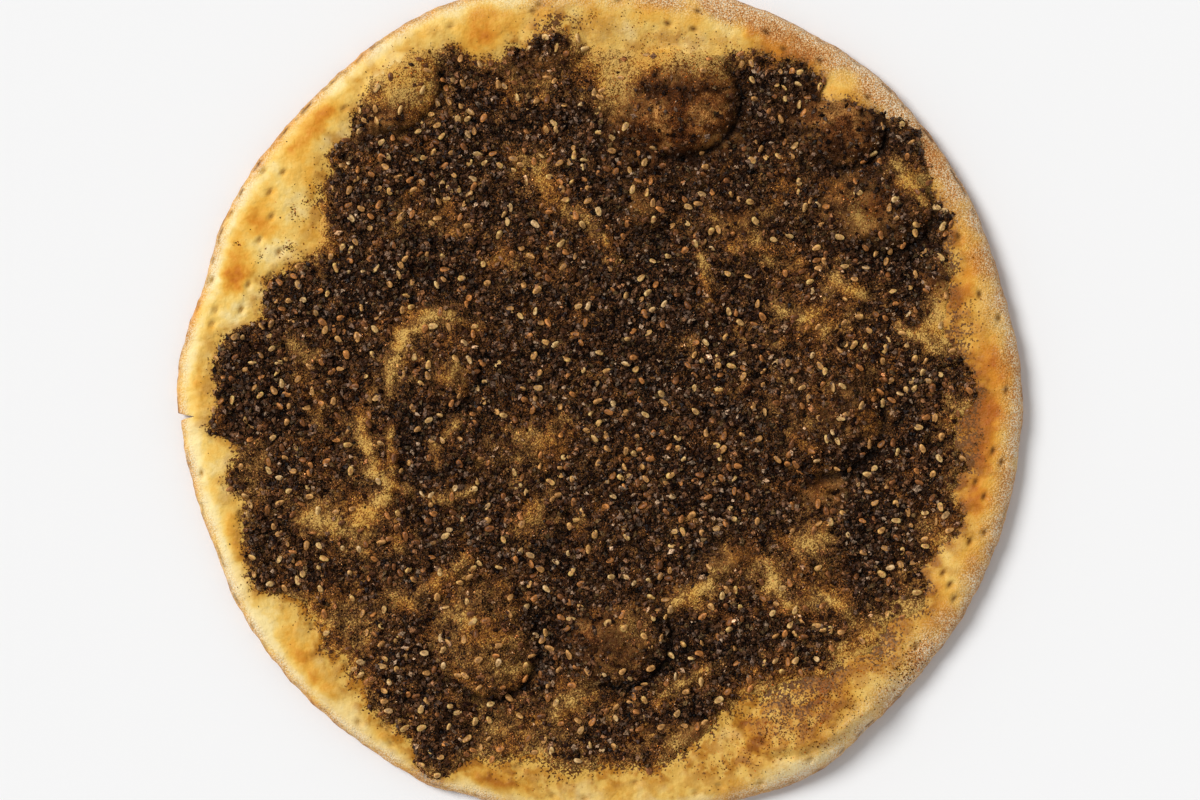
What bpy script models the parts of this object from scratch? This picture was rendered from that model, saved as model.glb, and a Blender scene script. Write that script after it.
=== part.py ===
# A baked round flatbread with a spread of za'atar and sesame seeds.
# Sizes are in millimetres until a mesh is made: MM turns them into metres.
# +Z is up, and the origin is under the middle of the bread, on the face that it rests on.
import math
import random

import bmesh
import bpy
from mathutils import Matrix, Vector, noise
from mathutils.bvhtree import BVHTree

MM = 0.001

# Bread
BREAD_RADIUS = 129.6
FLOOR_HEIGHT = 6.6
CROWN_HEIGHT = 8.8
CROWN_LEAN = 1.5
CROWN_LEAN_ANGLE = 10.0
CROWN_STARTS = 0.80
CROWN_ENDS = 0.93
EDGE_ROUND = 7.5
WIDEST_LEVEL = 0.40
BUBBLE_STEEPNESS = 0.8

# The rim's turn down to the foot: inset from the outline, level as a share of the widest ring's height
FOOT_RINGS = (
    (0.5, 0.55),
    (1.8, 0.20),
    (4.5, 0.00),
)

# Slow unevenness of hand-pressed dough: spacing, height, layer of the noise
WOBBLES = (
    (38.0, 0.9, 4.0),
    (14.0, 0.5, 9.0),
)

# Topping
TOPPING_RADIUS = 112.5
TOPPING_THICKNESS = 1.3
TOPPING_LIP = 0.7
TOPPING_GAP = 0.3
LUMP_HEIGHT = 0.45
LUMP_SPACING = 7.0
LUMP_LAYER = 2.0
LIP_RINGS = 1.5

# Sesame seeds
SEED_LENGTH = 3.3
SEED_WIDTH = 2.0
SEED_THICKNESS = 1.3
SEED_TAPER = 0.5
SEED_SIDES = 6
SEED_BANDS = 4
SEED_COUNT = 150
SEED_REACH = 0.94
SEED_SINK = 0.05
SEED_JITTER = 2.2

# Mesh fineness
TOPPING_RINGS = 16
SECTORS = 6 * TOPPING_RINGS
CRUST_STEPS = (0.30, 0.60, 0.82, 0.94, 1.0)

# Swells and dips of the outline: angle in degrees, push outwards, half width in degrees
SWELLS = (
    (16, -1.5, 9),
    (50, 1.4, 9),
    (66, 0.7, 6),
    (114, 2.0, 10),
    (137, -0.8, 5),
    (146, 0.6, 4),
    (163, -1.5, 5),
    (178, 1.9, 7),
    (200, -1.4, 7),
    (245, 0.9, 5),
    (253, -1.0, 4),
    (299, 2.9, 9),
)

# Tongues and bays of the topping's edge: angle in degrees, reach outwards, half width in degrees
TONGUES = (
    (0, 2.0, 3.0),
    (10, -4.5, 5.0),
    (28, 8.5, 2.2),
    (34, 9.0, 2.0),
    (41, 14.0, 5.0),
    (48, 6.0, 2.5),
    (58, 8.0, 4.0),
    (66, 4.5, 3.0),
    (84, -5.5, 9.0),
    (98, 3.5, 2.5),
    (107, -4.0, 3.0),
    (115, 7.5, 3.2),
    (122, 10.0, 3.5),
    (150, -7.0, 8.0),
    (174, 8.0, 4.0),
    (184, 8.5, 1.8),
    (192, 5.0, 2.2),
    (205, 8.0, 5.0),
    (222, 4.0, 1.6),
    (237, 6.0, 4.5),
    (245, 13.5, 2.4),
    (253, 4.5, 2.2),
    (266, 2.5, 3.0),
    (296, -9.0, 9.0),
    (327, 5.0, 2.2),
    (340, 4.0, 2.4),
    (356, -4.0, 2.0),
)

# Puffed bubbles: x, y, half length, half width, direction in degrees, height
BUBBLES = (
    (24, 92, 18.0, 17.0, 0, 7.4),
    (73, 84, 14.0, 12.0, 150, 4.4),
    (84, 59, 17.0, 14.0, 170, 4.8),
    (67, -5, 19.0, 18.0, 0, 4.6),
    (-36, -74, 18.0, 16.0, 110, 5.8),
    (4, -73, 17.0, 15.0, 0, 4.6),
    (-62, 95, 15.0, 11.0, 50, 3.8),
    (66, -98, 29.0, 15.0, 35, 4.6),
    (-15, 110, 10.0, 9.0, 0, 2.2),
    (-52, 10, 17.0, 14.0, 60, 2.6),
    (12, 61, 12.0, 10.0, 0, 2.0),
)

# Wrinkles of the dough: x, y, half length, half width, direction in degrees, height
WRINKLES = (
    (-13, 63, 17, 5, -58, 1.5),
    (-1, 52, 13, 4, -75, 1.7),
    (-69, -20, 17, 5, -78, 1.6),
    (-68, -37, 11, 4, 48, 1.3),
    (-46, -17, 13, 5, 52, 1.6),
    (-20, -13, 13, 6, 15, 1.5),
    (47, 47, 17, 6, -18, 1.6),
    (76, 32, 8, 7, 0, 1.5),
    (98, 20, 11, 5, -35, 1.8),
    (-46, -54, 12, 4, 42, 1.3),
    (38, -52, 13, 6, 10, 1.4),
    (63, -52, 14, 6, 45, 1.6),
    (74, -64, 15, 7, 5, 2.0),
    (-92, 17, 12, 8, 0, 1.4),
    (-85, -36, 12, 7, 0, 1.3),
)

# A short split in the rim at the left
SPLIT_ANGLE = 182.3
SPLIT_DEPTH = 5.5
SPLIT_WIDTH = 1.9

# Levels clear below and above everything
UNDER_ALL = -5.0
OVER_ALL = 25.0


def clear_scene():
    for old in list(bpy.data.objects):
        bpy.data.objects.remove(old, do_unlink=True)


def material(name, colour, roughness):
    """A plain Principled material."""
    made = bpy.data.materials.new(name)
    made.use_nodes = True
    shader = made.node_tree.nodes["Principled BSDF"]
    shader.inputs["Base Color"].default_value = (*colour, 1.0)
    shader.inputs["Roughness"].default_value = roughness
    shader.inputs["Metallic"].default_value = 0.0
    return made


def smoothstep(low, high, value):
    share = min(1.0, max(0.0, (value - low) / (high - low)))
    return share * share * (3.0 - 2.0 * share)


def swell_sum(rows, angle):
    """The sum of bell-shaped swells, each (degrees, push, half width in degrees), at an angle in degrees."""
    total = 0.0
    for centre, push, width in rows:
        away = (angle - centre + 180.0) % 360.0 - 180.0
        total += push * math.exp(-((away / width) ** 2))
    return total


def bread_radius(angle):
    return BREAD_RADIUS + swell_sum(SWELLS, angle)


def topping_radius(angle):
    return TOPPING_RADIUS + swell_sum(TONGUES, angle)


def turned(x, y, centre_x, centre_y, direction):
    """A point seen from a feature's centre, along and across the feature's own direction."""
    turn = math.radians(direction)
    dx = x - centre_x
    dy = y - centre_y
    along = dx * math.cos(turn) + dy * math.sin(turn)
    across = dy * math.cos(turn) - dx * math.sin(turn)
    return along, across


def bubble_height(x, y):
    """Domes that puffed up in the oven. Where two meet, the taller one stands."""
    tallest = 0.0
    for cx, cy, half_length, half_width, direction, height in BUBBLES:
        along, across = turned(x, y, cx, cy, direction)
        away = (along / half_length) ** 2 + (across / half_width) ** 2
        if away < 1.0:
            tallest = max(tallest, height * (1.0 - away) ** BUBBLE_STEEPNESS)
    return tallest


def wrinkle_height(x, y):
    """Long low ridges of dough that show through the topping."""
    total = 0.0
    for cx, cy, half_length, half_width, direction, height in WRINKLES:
        along, across = turned(x, y, cx, cy, direction)
        total += height * math.exp(-((along / half_length) ** 2) - (across / half_width) ** 2)
    return total


def wobble(x, y):
    total = 0.0
    for spacing, height, layer in WOBBLES:
        total += height * noise.noise(Vector((x / spacing, y / spacing, layer)))
    return total


def skin_height(x, y):
    """Height of the bread's upper skin above the face that it rests on."""
    angle = math.degrees(math.atan2(y, x)) % 360.0
    distance = math.hypot(x, y)
    rim = bread_radius(angle)
    crown = CROWN_HEIGHT + CROWN_LEAN * math.cos(math.radians(angle - CROWN_LEAN_ANGLE))
    share = smoothstep(CROWN_STARTS * rim, CROWN_ENDS * rim, distance)
    height = FLOOR_HEIGHT + (crown - FLOOR_HEIGHT) * share
    height += bubble_height(x, y) + wrinkle_height(x, y) + wobble(x, y)
    inset = min(1.0, max(0.0, (rim - distance) / EDGE_ROUND))
    roundness = math.sqrt(1.0 - (1.0 - inset) ** 2)
    return height * (WIDEST_LEVEL + (1.0 - WIDEST_LEVEL) * roundness)


def topping_top(x, y, share):
    """Height of the topping's upper face. share runs from 0 in the middle to 1 at the topping's edge."""
    lump = noise.noise(Vector((x / LUMP_SPACING, y / LUMP_SPACING, LUMP_LAYER)))
    thickness = TOPPING_THICKNESS + LUMP_HEIGHT * lump
    thinning = smoothstep(1.0 - LIP_RINGS / TOPPING_RINGS, 1.0, share)
    thickness += (TOPPING_LIP - thickness) * thinning
    return skin_height(x, y) + TOPPING_GAP + thickness


def outline_shift():
    """What moves the outline's box so that its middle lies over the origin."""
    xs = []
    ys = []
    for index in range(SECTORS):
        angle = 360.0 * index / SECTORS
        reach = bread_radius(angle)
        xs.append(reach * math.cos(math.radians(angle)))
        ys.append(reach * math.sin(math.radians(angle)))
    return -(min(xs) + max(xs)) / 2.0, -(min(ys) + max(ys)) / 2.0


SHIFT_X, SHIFT_Y = outline_shift()


def add_point(mesh, x, y, z):
    return mesh.verts.new(((x + SHIFT_X) * MM, (y + SHIFT_Y) * MM, z * MM))


def ring_points(mesh, count, radius_at, height_at):
    """One closed ring of points. radius_at takes degrees, and height_at takes x and y."""
    ring = []
    for index in range(count):
        angle = 360.0 * index / count
        reach = radius_at(angle)
        x = reach * math.cos(math.radians(angle))
        y = reach * math.sin(math.radians(angle))
        ring.append(add_point(mesh, x, y, height_at(x, y)))
    return ring


def join_growing_rings(mesh, inner, outer, faces_up):
    """Joins a ring of 6k - 6 points to the next of 6k, with one triangle more in each sixth."""
    step = len(outer) // 6
    for sixth in range(6):
        for place in range(step):
            start = outer[(sixth * step + place) % len(outer)]
            end = outer[(sixth * step + place + 1) % len(outer)]
            near = inner[(sixth * (step - 1) + place) % len(inner)]
            add_face(mesh, (near, start, end), faces_up)
            if place < step - 1:
                far = inner[(sixth * (step - 1) + place + 1) % len(inner)]
                add_face(mesh, (near, end, far), faces_up)


def join_equal_rings(mesh, inner, outer, faces_up=True):
    count = len(inner)
    for index in range(count):
        after = (index + 1) % count
        add_face(mesh, (inner[index], outer[index], outer[after]), faces_up)
        add_face(mesh, (inner[index], outer[after], inner[after]), faces_up)


def add_face(mesh, points, faces_up):
    mesh.faces.new(points if faces_up else tuple(reversed(points)))


def disc(mesh, height_at, faces_up):
    """The round patch under or over the topping, as rings of triangles. Returns its last ring."""
    middle = [add_point(mesh, 0.0, 0.0, height_at(0.0, 0.0, 0.0))]
    inner = middle
    for number in range(1, TOPPING_RINGS + 1):
        share = number / TOPPING_RINGS

        def reach(angle, part=share):
            return part * topping_radius(angle)

        def height(x, y, part=share):
            return height_at(x, y, part)

        outer = ring_points(mesh, 6 * number, reach, height)
        join_growing_rings(mesh, inner, outer, faces_up)
        inner = outer
    return inner


def new_object(name, mesh, finish):
    data = bpy.data.meshes.new(name)
    mesh.to_mesh(data)
    mesh.free()
    data.materials.append(finish)
    data.shade_smooth()
    data.set_sharp_from_angle(angle=math.radians(50.0))
    made = bpy.data.objects.new(name, data)
    bpy.context.scene.collection.objects.link(made)
    return made


def build_bread(finish):
    """The whole baked dough: skin, rounded rim and the flat face below."""
    mesh = bmesh.new()
    inner = disc(mesh, lambda x, y, share: skin_height(x, y), True)
    for step in CRUST_STEPS:

        def reach(angle, part=step):
            start = topping_radius(angle)
            return start + (bread_radius(angle) - start) * part

        outer = ring_points(mesh, SECTORS, reach, skin_height)
        join_equal_rings(mesh, inner, outer)
        inner = outer
    widest = [point.co.z / MM for point in inner]
    for inset, level in FOOT_RINGS:

        def narrowed(angle, less=inset):
            return bread_radius(angle) - less

        outer = ring_points(mesh, SECTORS, narrowed, lambda x, y: 0.0)
        for point, height in zip(outer, widest):
            point.co.z = height * level * MM
        join_equal_rings(mesh, inner, outer)
        inner = outer
    foot = add_point(mesh, -SHIFT_X, -SHIFT_Y, 0.0)
    for index, point in enumerate(inner):
        add_face(mesh, (foot, inner[(index + 1) % SECTORS], point), True)
    bread = new_object("bread", mesh, finish)
    cut_split(bread)
    return bread


def cut_split(bread):
    """Cuts the short split in the rim with a thin wedge that points at the middle."""
    turn = math.radians(SPLIT_ANGLE)
    outward = Vector((math.cos(turn), math.sin(turn), 0.0))
    sideways = Vector((-outward.y, outward.x, 0.0))
    shift = Vector((SHIFT_X, SHIFT_Y, 0.0))
    reach = bread_radius(SPLIT_ANGLE)
    tip = outward * (reach - SPLIT_DEPTH) + shift
    mouth = outward * (reach + SPLIT_DEPTH) + shift
    corners = (tip, mouth - sideways * SPLIT_WIDTH, mouth + sideways * SPLIT_WIDTH)
    mesh = bmesh.new()
    below = [mesh.verts.new((corner + Vector((0.0, 0.0, UNDER_ALL))) * MM) for corner in corners]
    above = [mesh.verts.new((corner + Vector((0.0, 0.0, OVER_ALL))) * MM) for corner in corners]
    mesh.faces.new(reversed(below))
    mesh.faces.new(above)
    for index in range(3):
        after = (index + 1) % 3
        mesh.faces.new((below[index], below[after], above[after], above[index]))
    data = bpy.data.meshes.new("split_wedge")
    mesh.to_mesh(data)
    mesh.free()
    wedge = bpy.data.objects.new("split_wedge", data)
    bpy.context.scene.collection.objects.link(wedge)
    wedge.hide_render = True
    wedge.display_type = "WIRE"
    cut = bread.modifiers.new("split", "BOOLEAN")
    cut.operation = "DIFFERENCE"
    cut.object = wedge


def seed_mesh():
    """A low sesame seed: a flat drop with one pointed end, made from a coarse ball."""
    mesh = bmesh.new()
    bmesh.ops.create_uvsphere(mesh, u_segments=SEED_SIDES, v_segments=SEED_BANDS, radius=0.5)
    for point in mesh.verts:
        taper = 1.0 - SEED_TAPER * point.co.z
        point.co = Vector((point.co.z * SEED_LENGTH, point.co.x * SEED_WIDTH * taper, point.co.y * SEED_THICKNESS))
    data = bpy.data.meshes.new("seed")
    bmesh.ops.triangulate(mesh, faces=mesh.faces)
    bmesh.ops.recalc_face_normals(mesh, faces=mesh.faces)
    bmesh.ops.scale(mesh, vec=(MM, MM, MM), verts=mesh.verts)
    mesh.to_mesh(data)
    mesh.free()
    return data


def scatter_seeds(gathered, surface):
    """Seeds spread evenly over the topping along a sunflower spiral, each turned its own way."""
    draw = random.Random(11)
    shape = seed_mesh()
    golden = math.degrees(math.pi * (3.0 - math.sqrt(5.0)))
    for index in range(SEED_COUNT):
        angle = (index * golden) % 360.0
        reach = SEED_REACH * math.sqrt((index + 0.5) / SEED_COUNT) * topping_radius(angle)
        x = reach * math.cos(math.radians(angle)) + draw.uniform(-SEED_JITTER, SEED_JITTER)
        y = reach * math.sin(math.radians(angle)) + draw.uniform(-SEED_JITTER, SEED_JITTER)
        turn = Matrix.Rotation(draw.uniform(0.0, 2.0 * math.pi), 4, "Z")
        above = Vector((x + SHIFT_X, y + SHIFT_Y, OVER_ALL)) * MM
        found, upright, _, _ = surface.ray_cast(above, Vector((0.0, 0.0, -1.0)))
        if found is None:
            continue
        lean = Vector((0.0, 0.0, 1.0)).rotation_difference(upright).to_matrix().to_4x4()
        place = Matrix.Translation(found - upright * SEED_SINK * MM)
        seed = bpy.data.objects.new(f"seed_{index:03d}", shape)
        seed.matrix_world = place @ lean @ turn
        gathered.objects.link(seed)


def build_topping(finish):
    """The za'atar spread: a thin skin that follows the bread, with sesame seeds fused on."""
    mesh = bmesh.new()
    lower = disc(mesh, lambda x, y, share: skin_height(x, y) + TOPPING_GAP, False)
    upper = disc(mesh, topping_top, True)
    join_equal_rings(mesh, upper, lower)
    surface = BVHTree.FromBMesh(mesh)
    topping = new_object("zaatar_topping", mesh, finish)
    gathered = bpy.data.collections.new("seeds")
    bpy.context.scene.collection.children.link(gathered)
    scatter_seeds(gathered, surface)
    fuse = topping.modifiers.new("seeds", "BOOLEAN")
    fuse.operation = "UNION"
    fuse.operand_type = "COLLECTION"
    fuse.collection = gathered
    bpy.context.view_layer.objects.active = topping
    bpy.context.view_layer.update()
    bpy.ops.object.modifier_apply(modifier=fuse.name)
    for seed in list(gathered.objects):
        bpy.data.objects.remove(seed, do_unlink=True)
    bpy.data.collections.remove(gathered)
    return topping


def main():
    clear_scene()
    crust = material("baked_crust", (0.74, 0.46, 0.16), 0.62)
    zaatar = material("zaatar", (0.055, 0.035, 0.018), 0.55)
    build_bread(crust)
    build_topping(zaatar)


main()
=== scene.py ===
# The looks of a baked round flatbread with za'atar, crumbs and sesame seeds.
# Sizes are in millimetres and angles in degrees until a mesh is made: MM turns them into metres.
# x runs to the right and y away from the viewer, from the middle of the bread as seen from above.
import math

import bpy
import numpy as np
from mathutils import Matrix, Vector, noise


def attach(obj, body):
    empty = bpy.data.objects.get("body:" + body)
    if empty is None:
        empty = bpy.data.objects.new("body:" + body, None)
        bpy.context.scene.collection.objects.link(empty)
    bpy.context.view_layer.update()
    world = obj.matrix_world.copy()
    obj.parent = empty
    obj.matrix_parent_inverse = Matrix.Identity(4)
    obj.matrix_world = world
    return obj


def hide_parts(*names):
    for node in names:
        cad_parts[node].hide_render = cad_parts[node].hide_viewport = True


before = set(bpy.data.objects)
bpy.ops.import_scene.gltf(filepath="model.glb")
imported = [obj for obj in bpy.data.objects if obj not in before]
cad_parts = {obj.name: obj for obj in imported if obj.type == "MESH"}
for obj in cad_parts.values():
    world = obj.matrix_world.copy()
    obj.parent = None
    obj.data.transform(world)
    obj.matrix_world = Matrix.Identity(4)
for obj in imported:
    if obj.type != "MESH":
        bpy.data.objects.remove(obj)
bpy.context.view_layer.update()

MM = 0.001
BODY = "root"

# Bread, as in the solids
BREAD_RADIUS = 129.6
FLOOR_HEIGHT = 6.6
CROWN_HEIGHT = 8.8
CROWN_LEAN = 1.5
CROWN_LEAN_ANGLE = 10.0
CROWN_STARTS = 0.80
CROWN_ENDS = 0.93
EDGE_ROUND = 7.5
WIDEST_LEVEL = 0.40
BUBBLE_STEEPNESS = 0.8
FOOT_INSET = 4.5
WOBBLES = ((38.0, 0.9, 4.0), (14.0, 0.5, 9.0))

# Topping, as in the solids
TOPPING_RADIUS = 112.5
TOPPING_GAP = 0.3

# The solids' outline is sampled this often to bring its box's middle over the origin
OUTLINE_SAMPLES = 96

# Swells and dips of the outline: angle, push outwards, half width in degrees
SWELLS = (
    (16, -1.5, 9), (50, 1.4, 9), (66, 0.7, 6), (114, 2.0, 10), (137, -0.4, 8), (163, -1.5, 5), (178, 1.9, 7),
    (200, -1.4, 7), (245, 0.9, 5), (253, -1.0, 4), (299, 2.9, 9),
)

# The topping's ragged outline: angle, distance from the middle
EDGE = (
    (0, 115), (5, 113), (10, 107), (15, 109), (20, 114), (25, 115), (28, 122), (31, 118), (34, 123),
    (36, 121), (40, 127), (43, 126), (46, 122), (50, 119), (54, 113.5), (55.5, 120), (57, 118.5), (59.5, 122),
    (61, 118), (65, 117), (68, 115), (71, 111), (77, 110), (85, 107.5), (91, 108), (94, 111), (97, 116),
    (102, 111), (104.5, 113), (107, 107), (111, 112), (113, 118), (117, 120), (122, 122), (126, 120.5),
    (130, 117), (134, 112), (137, 113.5), (140.5, 107.5), (146, 105), (150, 99.5), (154, 100), (158, 105),
    (161, 108.5), (164, 108.5), (166.5, 106), (168, 112), (170, 116), (173, 119.5), (177, 119.5), (180, 118),
    (183, 120.5), (185, 121), (186.5, 112), (189, 114), (192, 118), (194, 117), (196, 113), (200, 117),
    (204, 120), (208, 121.5), (210, 119), (212, 113), (216, 110), (220, 111), (222, 116), (225, 111),
    (228, 115.5), (230, 113), (232, 118.5), (237, 119), (241, 120), (243.5, 127.5), (247, 127.5), (249, 119),
    (251, 115), (254, 116.5), (256, 112.5), (259, 110), (262, 112), (266, 115), (270, 112), (275, 113),
    (279, 114), (283, 110), (287, 108), (290, 103.5), (295, 101), (300, 103), (305, 105), (309, 109),
    (313, 108), (316, 113), (320, 113), (322, 111), (325, 116), (327, 117.5), (330, 115), (332, 110.5),
    (337, 113), (340, 117), (343, 116), (345, 110.5), (350, 113), (355, 108), (358, 111),
)

# Where the spread thins out towards its edge: angle, strength, half width in degrees
THIN_EDGES = (
    (80, 0.6, 12), (92, 0.4, 6), (262, 0.4, 22), (225, 0.25, 12), (118, 0.35, 12), (150, 0.45, 6),
    (196, 0.15, 5), (300, 0.5, 9), (345, 0.3, 8), (15, 0.4, 7), (322, 0.35, 8),
)
THIN_EDGE_WIDTH = 6.0
# In degrees: how often the topping's outline is read, and how widely its corners are rounded
EDGE_STEP = 0.25
EDGE_ROUNDING = 0.7
EDGE_NEIGHBOURS = 8

# Puffed bubbles: x, y, half length, half width, direction, height
BUBBLES = (
    (24, 92, 18, 17, 0, 7.4), (73, 84, 14, 12, 150, 4.4), (84, 59, 17, 14, 170, 4.8),
    (67, -5, 19, 18, 0, 4.6), (-36, -74, 18, 16, 110, 5.8), (4, -73, 17, 15, 0, 4.6),
    (-62, 95, 15, 11, 50, 3.8), (66, -98, 29, 15, 35, 4.6), (-15, 110, 10, 9, 0, 2.2),
    (-52, 10, 17, 14, 60, 2.6), (12, 61, 12, 10, 0, 2.0),
)

# Wrinkles of the dough: x, y, half length, half width, direction, height
WRINKLES = (
    (-13, 63, 17, 5, -58, 1.5), (-1, 52, 13, 4, -75, 1.7), (-69, -20, 17, 5, -78, 1.6),
    (-68, -37, 11, 4, 48, 1.3), (-46, -17, 13, 5, 52, 1.6), (-20, -13, 13, 6, 15, 1.5),
    (47, 47, 17, 6, -18, 1.6), (76, 32, 8, 7, 0, 1.5), (98, 20, 11, 5, -35, 1.8), (-46, -54, 12, 4, 42, 1.3),
    (38, -52, 13, 6, 10, 1.4), (63, -52, 14, 6, 45, 1.6), (74, -64, 15, 7, 5, 2.0), (-92, 17, 12, 8, 0, 1.4),
    (-85, -36, 12, 7, 0, 1.3),
)

# A short split in the rim at the left
SPLIT_ANGLE = 182.3
SPLIT_DEPTH = 5.5
SPLIT_WIDTH = 1.9

# Pricks of the docking roller in the rim, in rows: first angle, last angle, distance from the middle, count
PRICKS = (
    (330.5, 371.5, 124.2, 5), (332, 352.5, 121.0, 4), (333, 347.5, 117.5, 2), (15.5, 24.5, 120.2, 2),
    (48.5, 65.8, 123.5, 3), (62.5, 62.5, 121.0, 1), (76, 99, 122.6, 3), (76, 80, 117.0, 2),
    (100, 100, 121.0, 1), (112, 112, 123.5, 1), (131.5, 131.5, 119.5, 1), (144.5, 148, 120.2, 2),
    (146, 163, 125.4, 2), (151, 155, 116.0, 2), (155.5, 159.5, 109.0, 2), (162, 166, 114.2, 2),
    (167, 169, 122.0, 2), (190.5, 190.5, 125.0, 1), (197.5, 198, 116.5, 2), (218, 226, 113.0, 2),
    (233, 238.5, 124.2, 2), (236, 237, 120.5, 2), (257, 257.5, 116.0, 2), (263, 267.5, 122.5, 2),
    (275, 275, 118.0, 1), (283.5, 287, 124.0, 2), (292.5, 300, 127.4, 2), (322, 322, 122.5, 1),
)
PRICK_LENGTH = 1.25
PRICK_WIDTH = 0.75
PRICK_DEPTH = 1.3
# Painted shade in a prick, on the pit's wall that the light does not reach, lies this far towards the light,
# which comes from the upper left, and is narrowed by this power
PRICK_SHADE = 0.38
PRICK_FALLOFF = 1.2

# Toasted patches of the crust: x, y, half length, half width, direction, strength
TOASTED = (
    (-89, 85, 9, 6, 45, 0.76), (-107, 57, 8, 5, 60, 0.4), (-113, 40, 9, 5, 75, 0.7), (-127, 5, 8, 4, 85, 0.5),
    (-116, 11, 5, 4, 0, 0.2), (-96, -69, 12, 5, -55, 0.4), (-88, -85, 10, 4, -48, 0.5),
    (-32, -116, 15, 4, -15, 0.7), (43, -119, 11, 4, 12, 0.75), (-35, 114, 12, 7, 15, 0.7),
    (-36, 117, 7, 5, 0, 0.4), (-106, 71, 7, 4, 60, 0.5), (-100, 78, 6, 4, 50, 0.5), (-114, 37, 5, 4, 0, 0.4),
    (118, 3, 7, 17, 0, 0.86), (114, -12, 5, 9, 0, 0.8), (114, -28, 8, 8, 0, 0.7), (122, 9, 4, 10, 0, 0.4),
    (46, -102, 8, 3.5, -50, 1.1), (-102, 51, 3.5, 3, 0, 0.5), (-89, 66, 2, 4, 10, 0.5),
    (10, 119, 14, 5, 0, 0.4), (50, 112, 14, 5, -25, 0.6), (100, 78, 12, 5, -50, 0.5),
    (112, 45, 10, 5, -68, 0.6), (66, -110, 20, 4, 20, -0.7), (20, 109, 14, 4, 0, -0.5),
    (60, -94, 18, 8, 30, 0.45), (-112, -33, 4, 5, 0, -0.5), (100, -62, 8, 6, 60, 0.4),
    (109, 31, 6, 7, 0, 0.7), (-66, 113, 8, 4, 35, 0.4), (-78, 102, 7, 4, 40, 0.4), (-119, 22, 4, 6, 0, 0.4),
    (-112, -45, 4, 10, 20, 0.4), (-66, -104, 9, 4, -40, 0.55), (20, -119, 20, 4, 0, 0.25),
    (60, 105, 10, 6, -30, 0.55),
)

# Small folds of the dough, bare along their crests, and grooves where the height is negative:
# height, half width, bareness, then places along the line
FOLDS = (
    (1.3, 2.6, 0.70, (-44, 25), (-52, 27), (-60, 21), (-65, 11), (-66, 3)),
    (0.9, 3.0, 0.62, (-47, 7), (-45, 9)),
    (1.3, 2.4, 0.60, (-75, -6), (-72, -14), (-70, -22), (-66, -26), (-60, -27)),
    (0.9, 2.0, 0.50, (-65, -9), (-64, -16), (-65, -22)),
    (1.2, 2.4, 0.64, (-66, -29), (-71, -34), (-77, -39)),
    (1.1, 2.4, 0.52, (-45, -7), (-50, -14), (-52, -20)),
    (0.9, 1.8, 0.52, (-50, -31), (-45, -30), (-40, -28)),
    (0.9, 2.6, 0.52, (-24, -37), (-19, -33)),
    (1.0, 2.4, 0.55, (-52, -57), (-46, -53), (-41, -49)),
    (1.2, 3.0, 0.38, (-24, 73), (-17, 65), (-11, 58), (-4, 55), (1, 50), (3, 43)),
    (1.0, 3.0, 0.44, (10, 64), (13, 59)),
    (0.9, 2.0, 0.58, (30, 44), (32, 38), (33, 31)),
    (0.7, 2.2, 0.34, (33, 57), (38, 54)),
    (0.7, 2.4, 0.38, (46, 50), (51, 44)),
    (0.6, 1.8, 0.30, (41, 47), (44, 52)),
    (0.9, 3.2, 0.50, (71, 36), (78, 33)),
    (1.0, 2.2, 0.60, (91, 22), (97, 19), (102, 15)),
    (0.7, 2.2, 0.42, (56, 28), (61, 25)),
    (1.0, 2.4, 0.42, (43, -48), (36, -52), (28, -60), (21, -63)),
    (1.0, 2.6, 0.52, (52, -52), (53, -58), (56, -63)),
    (0.9, 2.8, 0.62, (61, -44), (67, -42)),
    (1.0, 3.4, 0.36, (61, -63), (67, -61), (74, -64)),
    (0.9, 2.2, 0.42, (18, -91), (25, -87), (32, -83)),
    (0.8, 3.0, 0.42, (-14, -95), (-9, -91)),
    (0.8, 4.0, 0.14, (-29, -8), (-22, -11), (-15, -14)),
    (0.8, 3.0, 0.50, (-90, -35), (-83, -38)),
    (0.7, 2.0, 0.45, (-64, -60), (-58, -62)),
    (0.8, 2.2, 0.65, (78, 57), (81, 53)),
    (0.4, 3.0, 0.60, (89, 73), (96, 67), (99, 60)),
    (0.5, 2.0, 0.40, (25, 19), (28, 15)),
    (0.8, 1.8, 0.00, (36, -92), (41, -102), (49, -107), (60, -106), (72, -102), (82, -95)),
    (-0.6, 1.1, 0.00, (35, -95), (39, -105), (48, -110), (61, -109), (73, -105), (84, -98), (90, -90)),
)
# All folds are raised by this factor, and end this many half widths away
FOLD_RISE = 1.3
FOLD_REACH = 5.0
# Shares of a fold's bareness on its crest and on its sides
FOLD_CREST_BARE = 0.62
FOLD_SIDE_BARE = 0.50

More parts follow.
